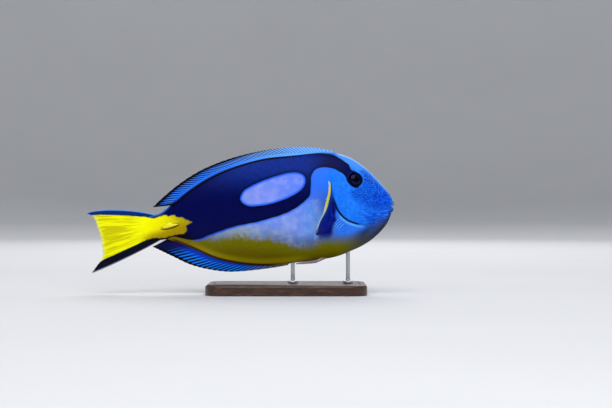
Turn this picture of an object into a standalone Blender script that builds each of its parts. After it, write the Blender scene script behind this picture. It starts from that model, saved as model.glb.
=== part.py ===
"""A life-size regal blue tang on a plain display stand, as a museum shows one.

The fish faces +X with its nose a little up. Its middle plane is y = 0, and the floor is z = 0.
Run with: blender --background --python part.py
"""

import math

import bmesh
import bpy
import numpy as np
from mathutils import Matrix, Vector
from mathutils.bvhtree import BVHTree

MM = 0.001
GAP = 0.3 * MM  # kept between solids that touch
REACH = 30 * MM  # half the width of a cut that runs right across the fish
SINK = 2.5 * MM  # how deep a fin's root is set before the body's shape is cut from it

# Body sections from the tail's end to the snout, in millimetres:
# place along the length, height of the back, height of the belly, half width.
SECTIONS = (
    (-78.5, 50.0, 49.0, 0.0),
    (-76.0, 55.0, 43.8, 0.9),
    (-70.5, 60.9, 40.7, 1.9),
    (-64.0, 62.2, 41.6, 3.3),
    (-55.0, 68.8, 42.2, 5.1),
    (-40.0, 82.0, 36.9, 7.7),
    (-16.0, 96.0, 26.9, 11.0),
    (16.0, 106.4, 22.3, 14.0),
    (46.0, 109.4, 24.6, 15.4),
    (74.0, 109.6, 28.7, 15.2),
    (86.0, 106.0, 33.2, 13.7),
    (95.0, 100.3, 37.3, 11.6),
    (103.0, 93.3, 42.5, 9.1),
    (110.0, 85.9, 49.0, 6.7),
    (115.0, 80.1, 55.3, 5.2),
    (118.0, 76.1, 60.9, 4.0),
    (119.2, 72.9, 65.0, 2.7),
    (119.4, 69.6, 68.4, 0.0),
)
BODY_RINGS = 54
BODY_SIDES = 36
BACK_KEEL = 0.93  # under 1 draws the back to a blunt keel and carries the flank low

# Mouth: a bead for each lip, and the slit between them
UPPER_LIP_RADIUS = 1.9 * MM
LOWER_LIP_RADIUS = 1.7 * MM
MOUTH_HALF_WIDTH = 4.7 * MM
MOUTH_CORNER = (113.8, 66.7)
UPPER_LIP_FRONT = (118.4, 70.7)
LOWER_LIP_FRONT = (118.0, 65.6)
SLIT_FRONT = (119.8, 68.0)
SLIT_HALF_SIZE = (6.6 * MM, 4.9 * MM, 0.5 * MM)

# Eye: a flattened ball that stands 1.6 mm out of the skin
EYE_PLACE = (89.6, 89.0)
EYE_BALL = (5.1 * MM, 5.1 * MM, 2.8 * MM)
EYE_SOCKET = tuple(size + GAP for size in EYE_BALL)
EYE_SUNK = 1.2 * MM
ORBIT_RADIUS = 5.7 * MM
ORBIT_RIM = 0.55 * MM

# Nostrils: place, then radius, of the round front one and the narrow back one
NOSTRILS = (((100.0, 89.6), 0.75 * MM), ((97.4, 90.6), 0.55 * MM))

# Thin cuts through the whole fish, as lines in the side view
GILL_CUT = (
    (78.0, 116.0), (74.5, 104.0), (71.0, 89.0), (71.2, 80.0), (73.2, 72.2),
    (77.0, 63.7), (83.0, 58.0), (90.6, 55.0), (98.4, 53.4), (105.0, 49.6), (111.0, 42.0),
)
TAIL_CUT = (
    (-61.0, 76.0), (-56.6, 69.0), (-49.0, 62.2), (-39.6, 56.6), (-43.5, 51.0),
    (-52.5, 46.2), (-56.5, 42.5), (-59.5, 36.0),
)
FIN_CUT = ((-71.2, 72.0), (-63.0, 32.0))

# The folded spine on each side of the tail
SPINE_PLACE = (-54.8, 53.0)
SPINE_HALF_SIZE = (7.0 * MM, 1.1 * MM, 1.3 * MM)
SPINE_TAPER = 0.45  # how much thinner it is at its front point
SPINE_TILT = math.radians(14)

# All fins: thickness of a ray at its root, and the membrane's and the tip's shares of it
RAY_THICKNESS = {"median": 1.7 * MM, "tail": 1.9 * MM, "breast": 1.5 * MM, "belly": 1.3 * MM}
WEB_SHARE = 0.48
TIP_SHARE = 0.55
RIDGE_DRAW = 0.35  # how far a ridge's two feet are drawn in towards it

# Fins: outer edges in the side view, from front to rear, in millimetres
DORSAL_EDGE = (
    (72.6, 111.4), (62.0, 113.4), (46.5, 114.7), (31.0, 113.6), (15.2, 111.3), (-0.4, 107.8),
    (-16.0, 102.9), (-31.7, 96.0), (-47.3, 86.2), (-60.5, 75.4), (-68.8, 67.4),
)
DORSAL_ROOT = (73.0, -54.0)
DORSAL_RAYS = 29
ANAL_EDGE = (
    (37.2, 20.9), (27.0, 20.0), (16.0, 18.9), (0.0, 17.3), (-10.0, 17.0), (-24.0, 18.7),
    (-39.5, 22.7), (-55.0, 29.9), (-68.9, 36.6),
)
ANAL_ROOT = (38.4, -54.5)
ANAL_RAYS = 21
TAIL_FIN_EDGE = (
    (-120.2, 62.8), (-117.6, 61.4), (-114.0, 59.4), (-110.8, 52.0), (-108.3, 44.5), (-107.2, 37.0),
    (-107.4, 30.4), (-109.2, 25.8), (-112.6, 21.4), (-116.5, 16.0),
)
TAIL_FIN_ROOT = ((-64.0, 59.5), (-60.0, 43.5))
TAIL_FIN_RAYS = 18
TAIL_FIN_BOW = (4.2, -1.6)  # how far the top and bottom rays bulge, in millimetres

# Breast fin, spread out to the side: (x, distance from the middle plane, z) in millimetres
BREAST_ROOT_TOP = (69.0, 78.0)
BREAST_ROOT_BOTTOM = (72.2, 62.8)
BREAST_TIPS = (
    (69.4, 52.0, 84.8), (68.3, 50.5, 76.2), (64.9, 45.0, 65.3),
    (60.2, 38.0, 52.8), (58.2, 30.5, 44.2), (65.8, 23.0, 42.8),
)
BREAST_RAYS = 15
BREAST_BOW = 2.2 * MM

# Belly fin, folded back under the belly: root and tip as (x, side, height under the belly line)
BELLY_FIN_ROOT = (67.0, 2.9, -1.6)
BELLY_FIN_TIP = (43.4, 1.9, 1.0)
BELLY_FIN_SPREAD = (2.6, 4.4, 0.9)
BELLY_FIN_LEAN = math.radians(40)
BELLY_FIN_RAYS = 4

# Stand
BASE_SIZE = (0.124, 0.072, 0.008)
BASE_MIDDLE = 0.036
BASE_CORNER = 0.012
BASE_EDGE = 1.6 * MM
ROD_RADIUS = 1.6 * MM
ROD_FOOT_RADIUS = 4.2 * MM
ROD_FOOT_HEIGHT = 2.2 * MM
ROD_PLACES = {"front": 0.0840, "rear": 0.0409}

FINISHES = {
    "head": ((0.05, 0.26, 0.85), 0.42),
    "trunk": ((0.01, 0.03, 0.36), 0.42),
    "tail": ((0.90, 0.82, 0.02), 0.45),
    "fins": ((0.05, 0.22, 0.80), 0.40),
    "tail_fin": ((0.92, 0.86, 0.02), 0.45),
    "breast_fins": ((0.02, 0.06, 0.45), 0.38),
    "belly_fins": ((0.62, 0.55, 0.60), 0.42),
    "eye": ((0.01, 0.01, 0.02), 0.08),
    "bone": ((0.85, 0.74, 0.15), 0.30),
    "wood": ((0.12, 0.06, 0.03), 0.40),
    "steel": ((0.62, 0.63, 0.65), 0.25),
}
NODE_FINISHES = {
    "head": "head", "trunk": "trunk", "tail_base": "tail", "caudal_fin": "tail_fin", "dorsal_fin": "fins",
    "anal_fin": "fins", "pectoral_fin": "breast_fins", "pelvic_fin": "belly_fins", "eye": "eye",
    "tail_spine": "bone", "stand_base": "wood", "stand_rod": "steel",
}


def finish(name):
    """The material of that name, made on first use."""
    if name in bpy.data.materials:
        return bpy.data.materials[name]
    colour, roughness = FINISHES[name]
    material = bpy.data.materials.new(name)
    material.use_nodes = True
    shader = material.node_tree.nodes["Principled BSDF"]
    shader.inputs["Base Color"].default_value = (*colour, 1)
    shader.inputs["Roughness"].default_value = roughness
    shader.inputs["Metallic"].default_value = 1.0 if name == "steel" else 0.0
    return material


def add_object(name, data, collection):
    obj = bpy.data.objects.new(name, data)
    collection.objects.link(obj)
    return obj


def make_cutter(obj):
    """Moves a helper out of the model and shows it as a wire frame."""
    for collection in list(obj.users_collection):
        collection.objects.unlink(obj)
    CUTTERS.objects.link(obj)
    obj.hide_render = True
    obj.display_type = "WIRE"
    return obj


def smooth_line(rows):
    """A function of 0 to 1 that runs smoothly through the rows."""
    rows = np.array(rows, float)
    steps = np.sqrt(np.linalg.norm(np.diff(rows, axis=0), axis=1))
    knots = np.concatenate(([0], np.cumsum(steps))) / steps.sum()
    slopes = np.gradient(rows, knots, axis=0)

    def at(share):
        i = min(int(np.searchsorted(knots, share, side="right")) - 1, len(rows) - 2)
        span = knots[i + 1] - knots[i]
        s = (share - knots[i]) / span
        start = (1 + 2 * s) * (1 - s) ** 2 * rows[i] + s * (1 - s) ** 2 * span * slopes[i]
        end = s * s * (3 - 2 * s) * rows[i + 1] + s * s * (s - 1) * span * slopes[i + 1]
        return start + end

    return at


body_section = smooth_line(SECTIONS)
body_samples = np.array([body_section(share) for share in np.linspace(0, 1, 400)])


def back_height(x):
    """Height of the back at x, both in millimetres."""
    return float(np.interp(x, body_samples[:, 0], body_samples[:, 1]))


def belly_height(x):
    return float(np.interp(x, body_samples[:, 0], body_samples[:, 2]))


def body_form(name):
    """The fish without its fins, drawn from a ball whose poles are the tail's end and the snout."""
    bm = bmesh.new()
    bmesh.ops.create_uvsphere(bm, u_segments=BODY_SIDES, v_segments=BODY_RINGS, radius=1)
    for vert in bm.verts:
        around = math.atan2(vert.co.y, vert.co.x)
        share = 1 - math.acos(max(-1, min(1, vert.co.z))) / math.pi
        x, back, belly, half_width = body_section(share) * MM
        drop = ((1 - math.cos(around)) / 2) ** BACK_KEEL
        vert.co = (x, -half_width * math.sin(around), back - (back - belly) * drop)
    bmesh.ops.recalc_face_normals(bm, faces=bm.faces)
    mesh = bpy.data.meshes.new(name)
    bm.to_mesh(mesh)
    bm.free()
    return add_object(name, mesh, FISH)


def applied(obj):
    """Turns an object and its modifiers into a plain mesh object of the same name."""
    bpy.context.view_layer.update()
    graph = bpy.context.evaluated_depsgraph_get()
    mesh = bpy.data.meshes.new_from_object(obj.evaluated_get(graph))
    name, place = obj.name, obj.matrix_world.copy()
    collection = obj.users_collection[0]
    bpy.data.objects.remove(obj)
    bm = bmesh.new()
    bm.from_mesh(mesh)
    bmesh.ops.remove_doubles(bm, verts=bm.verts, dist=0.001 * MM)
    bmesh.ops.recalc_face_normals(bm, faces=bm.faces)
    bm.to_mesh(mesh)
    bm.free()
    mesh.name = name
    plain = add_object(name, mesh, collection)
    plain.matrix_world = place
    return plain


def boolean(obj, operation, others):
    """Joins obj with the others, or cuts it with them, and applies that."""
    group = bpy.data.collections.new("operands")
    for other in others:
        group.objects.link(other)
    modifier = obj.modifiers.new(operation.lower(), "BOOLEAN")
    modifier.operation = operation
    modifier.operand_type = "COLLECTION"
    modifier.collection = group
    modifier.solver = "EXACT"
    joined = applied(obj)
    bpy.data.collections.remove(group)
    return joined


def parted(obj):
    """The separate closed bodies of an object, each as an object, from the smallest x to the largest."""
    bpy.ops.object.select_all(action="DESELECT")
    obj.select_set(True)
    bpy.context.view_layer.objects.active = obj
    bpy.ops.mesh.separate(type="LOOSE")
    pieces = list(bpy.context.selected_objects)
    return sorted(pieces, key=lambda piece: np.mean([corner[0] for corner in piece.bound_box]))


def largest(obj):
    """Keeps an object's largest closed body and drops any scrap."""
    name = obj.name
    pieces = sorted(parted(obj), key=lambda piece: len(piece.data.polygons))
    for scrap in pieces[:-1]:
        bpy.data.objects.remove(scrap)
    pieces[-1].name = name
    return pieces[-1]


def curved_slab(name, line):
    """A cutter as thin as the gap that follows a line of the side view, right across the fish."""
    at = smooth_line(line)
    points = [at(share) for share in np.linspace(0, 1, 4 * len(line))] if len(line) > 2 else line
    curve = bpy.data.curves.new(name, "CURVE")
    curve.dimensions = "2D"
    curve.fill_mode = "NONE"
    curve.extrude = REACH
    spline = curve.splines.new("POLY")
    spline.points.add(len(points) - 1)
    for point, (x, z) in zip(spline.points, points):
        point.co = (x * MM, z * MM, 0, 1)
    slab = add_object(name, curve, FISH)
    slab.rotation_euler = (math.radians(90), 0, 0)
    wall = slab.modifiers.new("wall", "SOLIDIFY")
    wall.thickness = GAP
    wall.offset = 0
    return make_cutter(applied(slab))


def lip(name, front, radius):
    """A tapered bead round one side of the mouth, from corner to corner."""
    curve = bpy.data.curves.new(name, "CURVE")
    curve.dimensions = "3D"
    curve.bevel_depth = radius
    curve.bevel_resolution = 2
    curve.use_fill_caps = True
    angles = np.radians(np.linspace(-90, 90, 11))
    spline = curve.splines.new("POLY")
    spline.points.add(len(angles) - 1)
    for point, angle in zip(spline.points, angles):
        forward = math.cos(angle) ** 0.8
        x = (MOUTH_CORNER[0] + (front[0] - MOUTH_CORNER[0]) * forward) * MM
        z = (MOUTH_CORNER[1] + (front[1] - MOUTH_CORNER[1]) * forward) * MM
        point.co = (x, MOUTH_HALF_WIDTH * math.sin(angle), z, 1)
        point.radius = 0.45 + 0.55 * forward
    return applied(add_object(name, curve, FISH))


def side_hit(x, z, side):
    """The place and outward direction of the body's skin, seen square from one side. side is -1 or 1."""
    hit, normal, _, _ = SKIN.ray_cast(Vector((x, side * REACH, z)), Vector((0, -side, 0)))
    return hit, normal


def flat_ball(name, half_size, segments):
    bm = bmesh.new()
    bmesh.ops.create_uvsphere(bm, u_segments=segments, v_segments=segments // 2, radius=1)
    bmesh.ops.scale(bm, vec=half_size, verts=bm.verts)
    mesh = bpy.data.meshes.new(name)
    bm.to_mesh(mesh)
    bm.free()
    return add_object(name, mesh, FISH)


def seat_on_skin(obj, place, side, depth):
    """Turns an object's own z axis out of the skin and sinks it by that depth."""
    hit, normal = side_hit(place[0] * MM, place[1] * MM, side)
    turn = normal.to_track_quat("Z", "Y").to_matrix().to_4x4()
    obj.matrix_world = Matrix.Translation(hit - normal * depth) @ turn
    return obj


def orbit_rim(name, side):
    bpy.ops.mesh.primitive_torus_add(
        major_radius=ORBIT_RADIUS, minor_radius=ORBIT_RIM, major_segments=22, minor_segments=6
    )
    rim = bpy.context.active_object
    for collection in list(rim.users_collection):
        collection.objects.unlink(rim)
    FISH.objects.link(rim)
    rim.name = name
    return seat_on_skin(rim, EYE_PLACE, side, 0)


def tail_spine(name, side, grow):
    """A folded tail spine, a long flattened point thick at its rear root, grown by grow for its groove."""
    half_length, half_thickness, half_height = SPINE_HALF_SIZE
    bm = bmesh.new()
    bmesh.ops.create_uvsphere(bm, u_segments=12, v_segments=8, radius=1)
    for vert in bm.verts:
        taper = 1 - SPINE_TAPER * max(0, vert.co.x)
        vert.co.x *= half_length + grow
        vert.co.y *= half_thickness * taper + grow
        vert.co.z *= half_height * taper + grow
    mesh = bpy.data.meshes.new(name)
    bm.to_mesh(mesh)
    bm.free()
    spine = add_object(name, mesh, FISH)
    x, z = SPINE_PLACE[0] * MM, SPINE_PLACE[1] * MM
    front, middle, rear = (side_hit(x + ahead, z, side)[0] for ahead in (half_length, 0, -half_length))
    flare = math.atan2(front.y - rear.y, front.x - rear.x)
    turn = Matrix.Rotation(flare, 4, "Z") @ Matrix.Rotation(-SPINE_TILT, 4, "Y")
    spine.matrix_world = Matrix.Translation(middle) @ turn
    return spine


def ribbed_fin(name, rays, rows, place, thickness):
    """A fin: a grid bent to its shape and thickened, with each ray a ridge in its own surface.

    place(across, along) gives a point of the middle surface, where across runs over the rays and along from
    the root to the tip, each from 0 to 1. thickness is that of a ray at its root.
    """
    columns = 3 * rays
    bm = bmesh.new()
    bmesh.ops.create_grid(bm, x_segments=columns, y_segments=rows, size=1)
    shares = {}
    for vert in bm.verts:
        column = round((vert.co.x + 1) / 2 * columns)
        along = (vert.co.y + 1) / 2
        foot = (RIDGE_DRAW, 0, -RIDGE_DRAW)[column % 3]  # the middle one of each three columns is a ridge
        across = min(1, max(0, (column + foot) / columns))
        height = 1 if column % 3 == 1 else WEB_SHARE
        fleshy_root = max(0, 1 - 5 * along) ** 2
        shares[vert.index] = max(height * (1 - (1 - TIP_SHARE) * along), fleshy_root)
        vert.co = place(across, along)
    bmesh.ops.triangulate(bm, faces=bm.faces)
    mesh = bpy.data.meshes.new(name)
    bm.to_mesh(mesh)
    bm.free()
    fin = add_object(name, mesh, FISH)
    group = fin.vertex_groups.new(name="thickness")
    for index, share in shares.items():
        group.add([index], share, "REPLACE")
    wall = fin.modifiers.new("wall", "SOLIDIFY")
    wall.thickness = thickness
    wall.offset = 0
    wall.vertex_group = "thickness"
    wall.thickness_vertex_group = 0
    return applied(fin)


def median_fin(name, rays, root, edge, height_at, sink):
    """A fin on the back or the belly, whose rays lean back from the body's line to the fin's edge."""
    edge_at = smooth_line(edge)

    def place(across, along):
        root_x = root[0] + (root[1] - root[0]) * across
        root_z = height_at(root_x) + sink
        edge_x, edge_z = edge_at(across)
        x = root_x + (edge_x - root_x) * along
        return Vector((x, 0, root_z + (edge_z - root_z) * along)) * MM

    return ribbed_fin(name, rays, 3, place, RAY_THICKNESS["median"])


def tail_fin(name):
    edge_at = smooth_line(TAIL_FIN_EDGE)
    top, bottom = (Vector((x, 0, z)) for x, z in TAIL_FIN_ROOT)

    def place(across, along):
        root = top.lerp(bottom, across)
        edge_x, edge_z = edge_at(across)
        point = root.lerp(Vector((edge_x, 0, edge_z)), along)
        bow = TAIL_FIN_BOW[0] + (TAIL_FIN_BOW[1] - TAIL_FIN_BOW[0]) * across
        edge_share = abs(2 * across - 1) ** 1.5
        point.z += bow * edge_share * 4 * along * (1 - along)
        return point * MM

    return ribbed_fin(name, TAIL_FIN_RAYS, 6, place, RAY_THICKNESS["tail"])


def breast_fin(name, side):
    tips = smooth_line(BREAST_TIPS)

    def place(across, along):
        x = BREAST_ROOT_TOP[0] + (BREAST_ROOT_BOTTOM[0] - BREAST_ROOT_TOP[0]) * across
        z = BREAST_ROOT_TOP[1] + (BREAST_ROOT_BOTTOM[1] - BREAST_ROOT_TOP[1]) * across
        hit, _ = side_hit(x * MM, z * MM, side)
        root = Vector((hit.x, hit.y - side * SINK, hit.z))
        tip_x, tip_side, tip_z = tips(across)
        tip = Vector((tip_x, side * tip_side, tip_z)) * MM
        bow = BREAST_BOW * 4 * along * (1 - along)
        return root.lerp(tip, along) + Vector((bow, 0, 0))

    return ribbed_fin(name, BREAST_RAYS, 5, place, RAY_THICKNESS["breast"])


def belly_fin(name, side):
    root_x, root_side, root_drop = BELLY_FIN_ROOT
    tip_x, tip_side, tip_drop = BELLY_FIN_TIP
    start, middle, end = BELLY_FIN_SPREAD

    def place(across, along):
        x = root_x + (tip_x - root_x) * along
        out = root_side + (tip_side - root_side) * along
        drop = root_drop + (tip_drop - root_drop) * min(1, 3 * along)
        spread = start * (1 - along) ** 2 + 2 * middle * along * (1 - along) + end * along**2
        offset = (across - 0.5) * spread
        z = belly_height(x) - drop - offset * math.sin(BELLY_FIN_LEAN)
        return Vector((x, side * (out - offset * math.cos(BELLY_FIN_LEAN)), z)) * MM

    return ribbed_fin(name, BELLY_FIN_RAYS, 5, place, RAY_THICKNESS["belly"])


def rod(name, x):
    """A round rod on a small foot: a profile turned about its own axis."""
    top = belly_height(x / MM) * MM + 2 * SINK
    bottom = BASE_SIZE[2] + GAP
    foot_top = bottom + ROD_FOOT_HEIGHT
    profile = (
        (0, top), (ROD_RADIUS, top), (ROD_RADIUS, foot_top + MM), (ROD_RADIUS + MM, foot_top),
        (ROD_FOOT_RADIUS, foot_top - 0.5 * MM), (ROD_FOOT_RADIUS, bottom), (0, bottom),
    )
    mesh = bpy.data.meshes.new(name)
    mesh.from_pydata([(r, 0, z) for r, z in profile], [(i, i + 1) for i in range(len(profile) - 1)], [])
    turned = add_object(name, mesh, FISH)
    turned.location.x = x
    screw = turned.modifiers.new("turn", "SCREW")
    screw.steps = screw.render_steps = 20
    screw.use_merge_vertices = True
    screw.merge_threshold = 0.00001
    return applied(turned)


def base(name):
    """A flat plate with round corners and a softened top edge."""
    length, width, height = BASE_SIZE
    bm = bmesh.new()
    bmesh.ops.create_cube(bm, size=1)
    bmesh.ops.scale(bm, vec=(length, width, height), verts=bm.verts)
    bmesh.ops.translate(bm, vec=(BASE_MIDDLE, 0, height / 2), verts=bm.verts)
    upright = [edge for edge in bm.edges if abs(edge.verts[0].co.z - edge.verts[1].co.z) > height / 2]
    bmesh.ops.bevel(bm, geom=upright, offset=BASE_CORNER, segments=6, profile=0.5, affect="EDGES")
    rim = [edge for edge in bm.edges if all(vert.co.z > height * 0.99 for vert in edge.verts)]
    bmesh.ops.bevel(bm, geom=rim, offset=BASE_EDGE, segments=2, profile=0.5, affect="EDGES")
    mesh = bpy.data.meshes.new(name)
    bm.to_mesh(mesh)
    bm.free()
    return add_object(name, mesh, FISH)


for old in list(bpy.data.objects):
    bpy.data.objects.remove(old)
FISH = bpy.data.collections.new("regal_blue_tang")
CUTTERS = bpy.data.collections.new("cutters")
bpy.context.scene.collection.children.link(FISH)
bpy.context.scene.collection.children.link(CUTTERS)

# The body, whole, and the slightly larger copy of it that is cut from whatever grows from it
whole = body_form("whole")
bpy.context.view_layer.update()
SKIN = BVHTree.FromObject(whole, bpy.context.evaluated_depsgraph_get())
grown = body_form("grown_body")
swell = grown.modifiers.new("swell", "DISPLACE")
swell.strength = GAP
swell.mid_level = 0
grown = make_cutter(applied(grown))

# Head forms and the tail fin are joined to the body, then the sockets and the thin cuts are made
additions = [
    lip("upper_lip", UPPER_LIP_FRONT, UPPER_LIP_RADIUS),
    lip("lower_lip", LOWER_LIP_FRONT, LOWER_LIP_RADIUS),
    orbit_rim("orbit_left", 1),
    orbit_rim("orbit_right", -1),
    tail_fin("tail_fin_form"),
]
whole = boolean(whole, "UNION", additions)
for addition in additions:
    bpy.data.objects.remove(addition)

cuts = [curved_slab("gill_cut", GILL_CUT), curved_slab("tail_cut", TAIL_CUT), curved_slab("fin_cut", FIN_CUT)]
slit = make_cutter(flat_ball("mouth_slit", SLIT_HALF_SIZE, 16))
slit.location = (SLIT_FRONT[0] * MM, 0, SLIT_FRONT[1] * MM)
slit.rotation_euler.y = math.atan2(MOUTH_CORNER[1] - SLIT_FRONT[1], SLIT_FRONT[0] - MOUTH_CORNER[0])
cuts.append(slit)
for side in (-1, 1):
    socket = flat_ball(f"socket_{side}", EYE_SOCKET, 20)
    cuts.append(make_cutter(seat_on_skin(socket, EYE_PLACE, side, EYE_SUNK)))
    cuts.append(make_cutter(tail_spine(f"groove_{side}", side, GAP)))
    for place, radius in NOSTRILS:
        pit = flat_ball("nostril", (radius, radius, 2 * radius), 10)
        cuts.append(make_cutter(seat_on_skin(pit, place, side, 0)))
whole = boolean(whole, "DIFFERENCE", cuts)
for node, piece in zip(("caudal_fin", "tail_base", "trunk", "head"), parted(whole)):
    piece.name = node

for side, word in ((1, "left"), (-1, "right")):
    eye = flat_ball(f"eye_{word}", EYE_BALL, 20)
    seat_on_skin(eye, EYE_PLACE, side, EYE_SUNK)
    tail_spine(f"tail_spine_{word}", side, 0)
    largest(boolean(breast_fin(f"pectoral_fin_{word}", side), "DIFFERENCE", [grown]))
    largest(boolean(belly_fin(f"pelvic_fin_{word}", side), "DIFFERENCE", [grown]))

dorsal = median_fin("dorsal_fin", DORSAL_RAYS, DORSAL_ROOT, DORSAL_EDGE, back_height, -SINK / MM)
anal = median_fin("anal_fin", ANAL_RAYS, ANAL_ROOT, ANAL_EDGE, belly_height, SINK / MM)
for fin in (dorsal, anal):
    largest(boolean(fin, "DIFFERENCE", [grown]))

base("stand_base")
for word, x in ROD_PLACES.items():
    largest(boolean(rod(f"stand_rod_{word}", x), "DIFFERENCE", [grown]))

for obj in list(FISH.objects):
    kind = next(kind for kind in NODE_FINISHES if obj.name.startswith(kind))
    obj.data.materials.clear()
    obj.data.materials.append(finish(NODE_FINISHES[kind]))
    obj.data.shade_smooth()
    obj.data.set_sharp_from_angle(angle=math.radians(40))
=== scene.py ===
"""The looks of a life-size regal blue tang, cast and painted as a museum display model.

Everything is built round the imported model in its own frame: metres, floor at z = 0, the fish facing +X with
its middle plane at y = 0, and its right side towards the camera. Lengths in lists are in millimetres.
"""

import math

import bmesh
import bpy
import numpy as np
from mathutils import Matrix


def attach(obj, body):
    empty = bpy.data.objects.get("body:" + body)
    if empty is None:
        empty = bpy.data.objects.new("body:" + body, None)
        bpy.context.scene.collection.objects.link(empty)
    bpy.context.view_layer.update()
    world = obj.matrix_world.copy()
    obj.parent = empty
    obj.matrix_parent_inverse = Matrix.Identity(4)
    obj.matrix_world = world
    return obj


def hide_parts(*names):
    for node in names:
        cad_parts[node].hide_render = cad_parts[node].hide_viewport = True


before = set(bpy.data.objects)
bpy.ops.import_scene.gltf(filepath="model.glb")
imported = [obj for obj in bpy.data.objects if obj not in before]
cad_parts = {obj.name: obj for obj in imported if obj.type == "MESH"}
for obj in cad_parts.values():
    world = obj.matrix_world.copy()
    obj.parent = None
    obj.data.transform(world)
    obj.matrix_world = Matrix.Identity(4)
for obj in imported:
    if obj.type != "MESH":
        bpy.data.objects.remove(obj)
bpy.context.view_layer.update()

MM = 0.001

# Skin: the whole cast body from the lips to the root of the tail fin, one closed shell with no seam.
# It is laid over sections read along the fish. The mouth, gill covers, eye rims, nostrils and the slits of
# the tail spines are worked into it, then it is painted and left with a wet satin gloss.

# Place along the length, height of the back, height of the belly, half width
BODY_SECTIONS = (
    (-78.5, 50.0, 49.0, 0.0), (-76.0, 55.0, 43.8, 0.9), (-70.5, 60.9, 40.7, 1.9), (-64.0, 62.2, 41.6, 3.3),
    (-55.0, 68.8, 42.2, 5.1), (-40.0, 82.0, 36.9, 7.7), (-16.0, 96.0, 26.9, 11.0),
    (16.0, 106.4, 22.3, 14.0), (46.0, 109.4, 24.6, 15.4), (74.0, 109.6, 28.7, 15.2),
    (86.0, 106.0, 33.2, 13.7), (95.0, 100.3, 37.3, 11.6), (103.0, 93.3, 42.5, 9.1),
    (110.0, 85.9, 49.0, 6.7), (115.0, 80.1, 55.3, 5.2), (118.0, 76.1, 60.9, 4.0), (119.2, 72.9, 65.0, 2.7),
    (119.4, 69.6, 68.4, 0.0),
)
BACK_KEEL = 0.93
SKIN_SIDES = 272
BODY_SPACING = 0.95
HEAD_SPACING = 0.46
HEAD_START = 58.0


def smooth_line(rows):
    """A function of shares from 0 to 1 that runs smoothly through the rows."""
    rows = np.array(rows, float)
    steps = np.sqrt(np.linalg.norm(np.diff(rows, axis=0), axis=1))
    knots = np.concatenate(([0], np.cumsum(steps))) / steps.sum()
    slopes = np.gradient(rows, knots, axis=0)

    def at(share):
        share = np.asarray(share, float)
        i = np.clip(np.searchsorted(knots, share, side="right") - 1, 0, len(rows) - 2)
        span = (knots[i + 1] - knots[i])[..., None]
        s = (share - knots[i])[..., None] / span
        start = (1 + 2 * s) * (1 - s) ** 2 * rows[i] + s * (1 - s) ** 2 * span * slopes[i]
        end = s * s * (3 - 2 * s) * rows[i + 1] + s * s * (s - 1) * span * slopes[i + 1]
        return start + end

    return at


def smooth_step(value, low, high):
    """0 below low, 1 above high, and an easy rise between them."""
    t = np.clip((value - low) / (high - low), 0, 1)
    return t * t * (3 - 2 * t)


def smooth_fall(value, low, high):
    """1 below low, 0 above high, and an easy fall between them."""
    return 1 - smooth_step(value, low, high)


def swell(value, middle, width):
    """1 at the middle, falling off like a bell on both sides."""
    return np.exp(-(((value - middle) / width) ** 2))


body_section = smooth_line(BODY_SECTIONS)
body_shares = np.linspace(0, 1, 3000)
body_samples = body_section(body_shares)


def body_point(share, around):
    """Points of the bare body form: around is 0 on the back and pi on the belly, right side first."""
    share, around = np.broadcast_arrays(share, around)
    x, back, belly, half_width = np.moveaxis(body_section(share), -1, 0)
    drop = ((1 - np.cos(around)) / 2) ** BACK_KEEL
    return np.stack((x, -half_width * np.sin(around), back - (back - belly) * drop), axis=-1)


def skin_spot(x, z, side):
    """The point of the bare body seen at x, z from one side, and the way that the skin faces there."""
    share = np.interp(x, body_samples[:, 0], body_shares)
    _, back, belly, _ = body_section(share)
    around = math.acos(1 - 2 * ((back - z) / (back - belly)) ** (1 / BACK_KEEL))
    around = around if side < 0 else 2 * math.pi - around
    point = body_point(share, around)
    ahead = body_point(share + 1e-4, around) - body_point(share - 1e-4, around)
    round_it = body_point(share, around + 1e-4) - body_point(share, around - 1e-4)
    normal = np.cross(ahead, round_it)
    normal *= side * np.sign(normal[1]) / np.linalg.norm(normal)
    return point, normal


# The rings lie closer together on the head than on the flank
step_lengths = np.linalg.norm(np.diff(body_samples[:, :2], axis=0), axis=1)
step_middles = (body_samples[1:, 0] + body_samples[:-1, 0]) / 2
wanted = BODY_SPACING + (HEAD_SPACING - BODY_SPACING) * smooth_step(step_middles, HEAD_START, HEAD_START + 8)
ring_counts = np.concatenate(([0], np.cumsum(step_lengths / wanted)))
skin_rings = int(ring_counts[-1])
ring_shares = np.interp(np.linspace(0, ring_counts[-1], skin_rings), ring_counts, body_shares)

# The mouth: the line down the middle of the lips, from its corner to its front, and how thick they are
MOUTH_HALF_WIDTH = 4.7
MOUTH_CORNER = np.array((113.8, 66.7))
UPPER_LIP = np.array((118.1, 70.4))
LOWER_LIP = np.array((117.7, 65.7))
UPPER_LIP_RADIUS = 2.1
LOWER_LIP_RADIUS = 1.95
LIP_START = math.radians(14)
LIP_END = math.radians(205)
LIP_RINGS = 22
MOUTH_BACK = np.array((111.5, 0.0, 67.0))
MOUTH_RINGS = 5
SNOUT_START = 103.0

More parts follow.
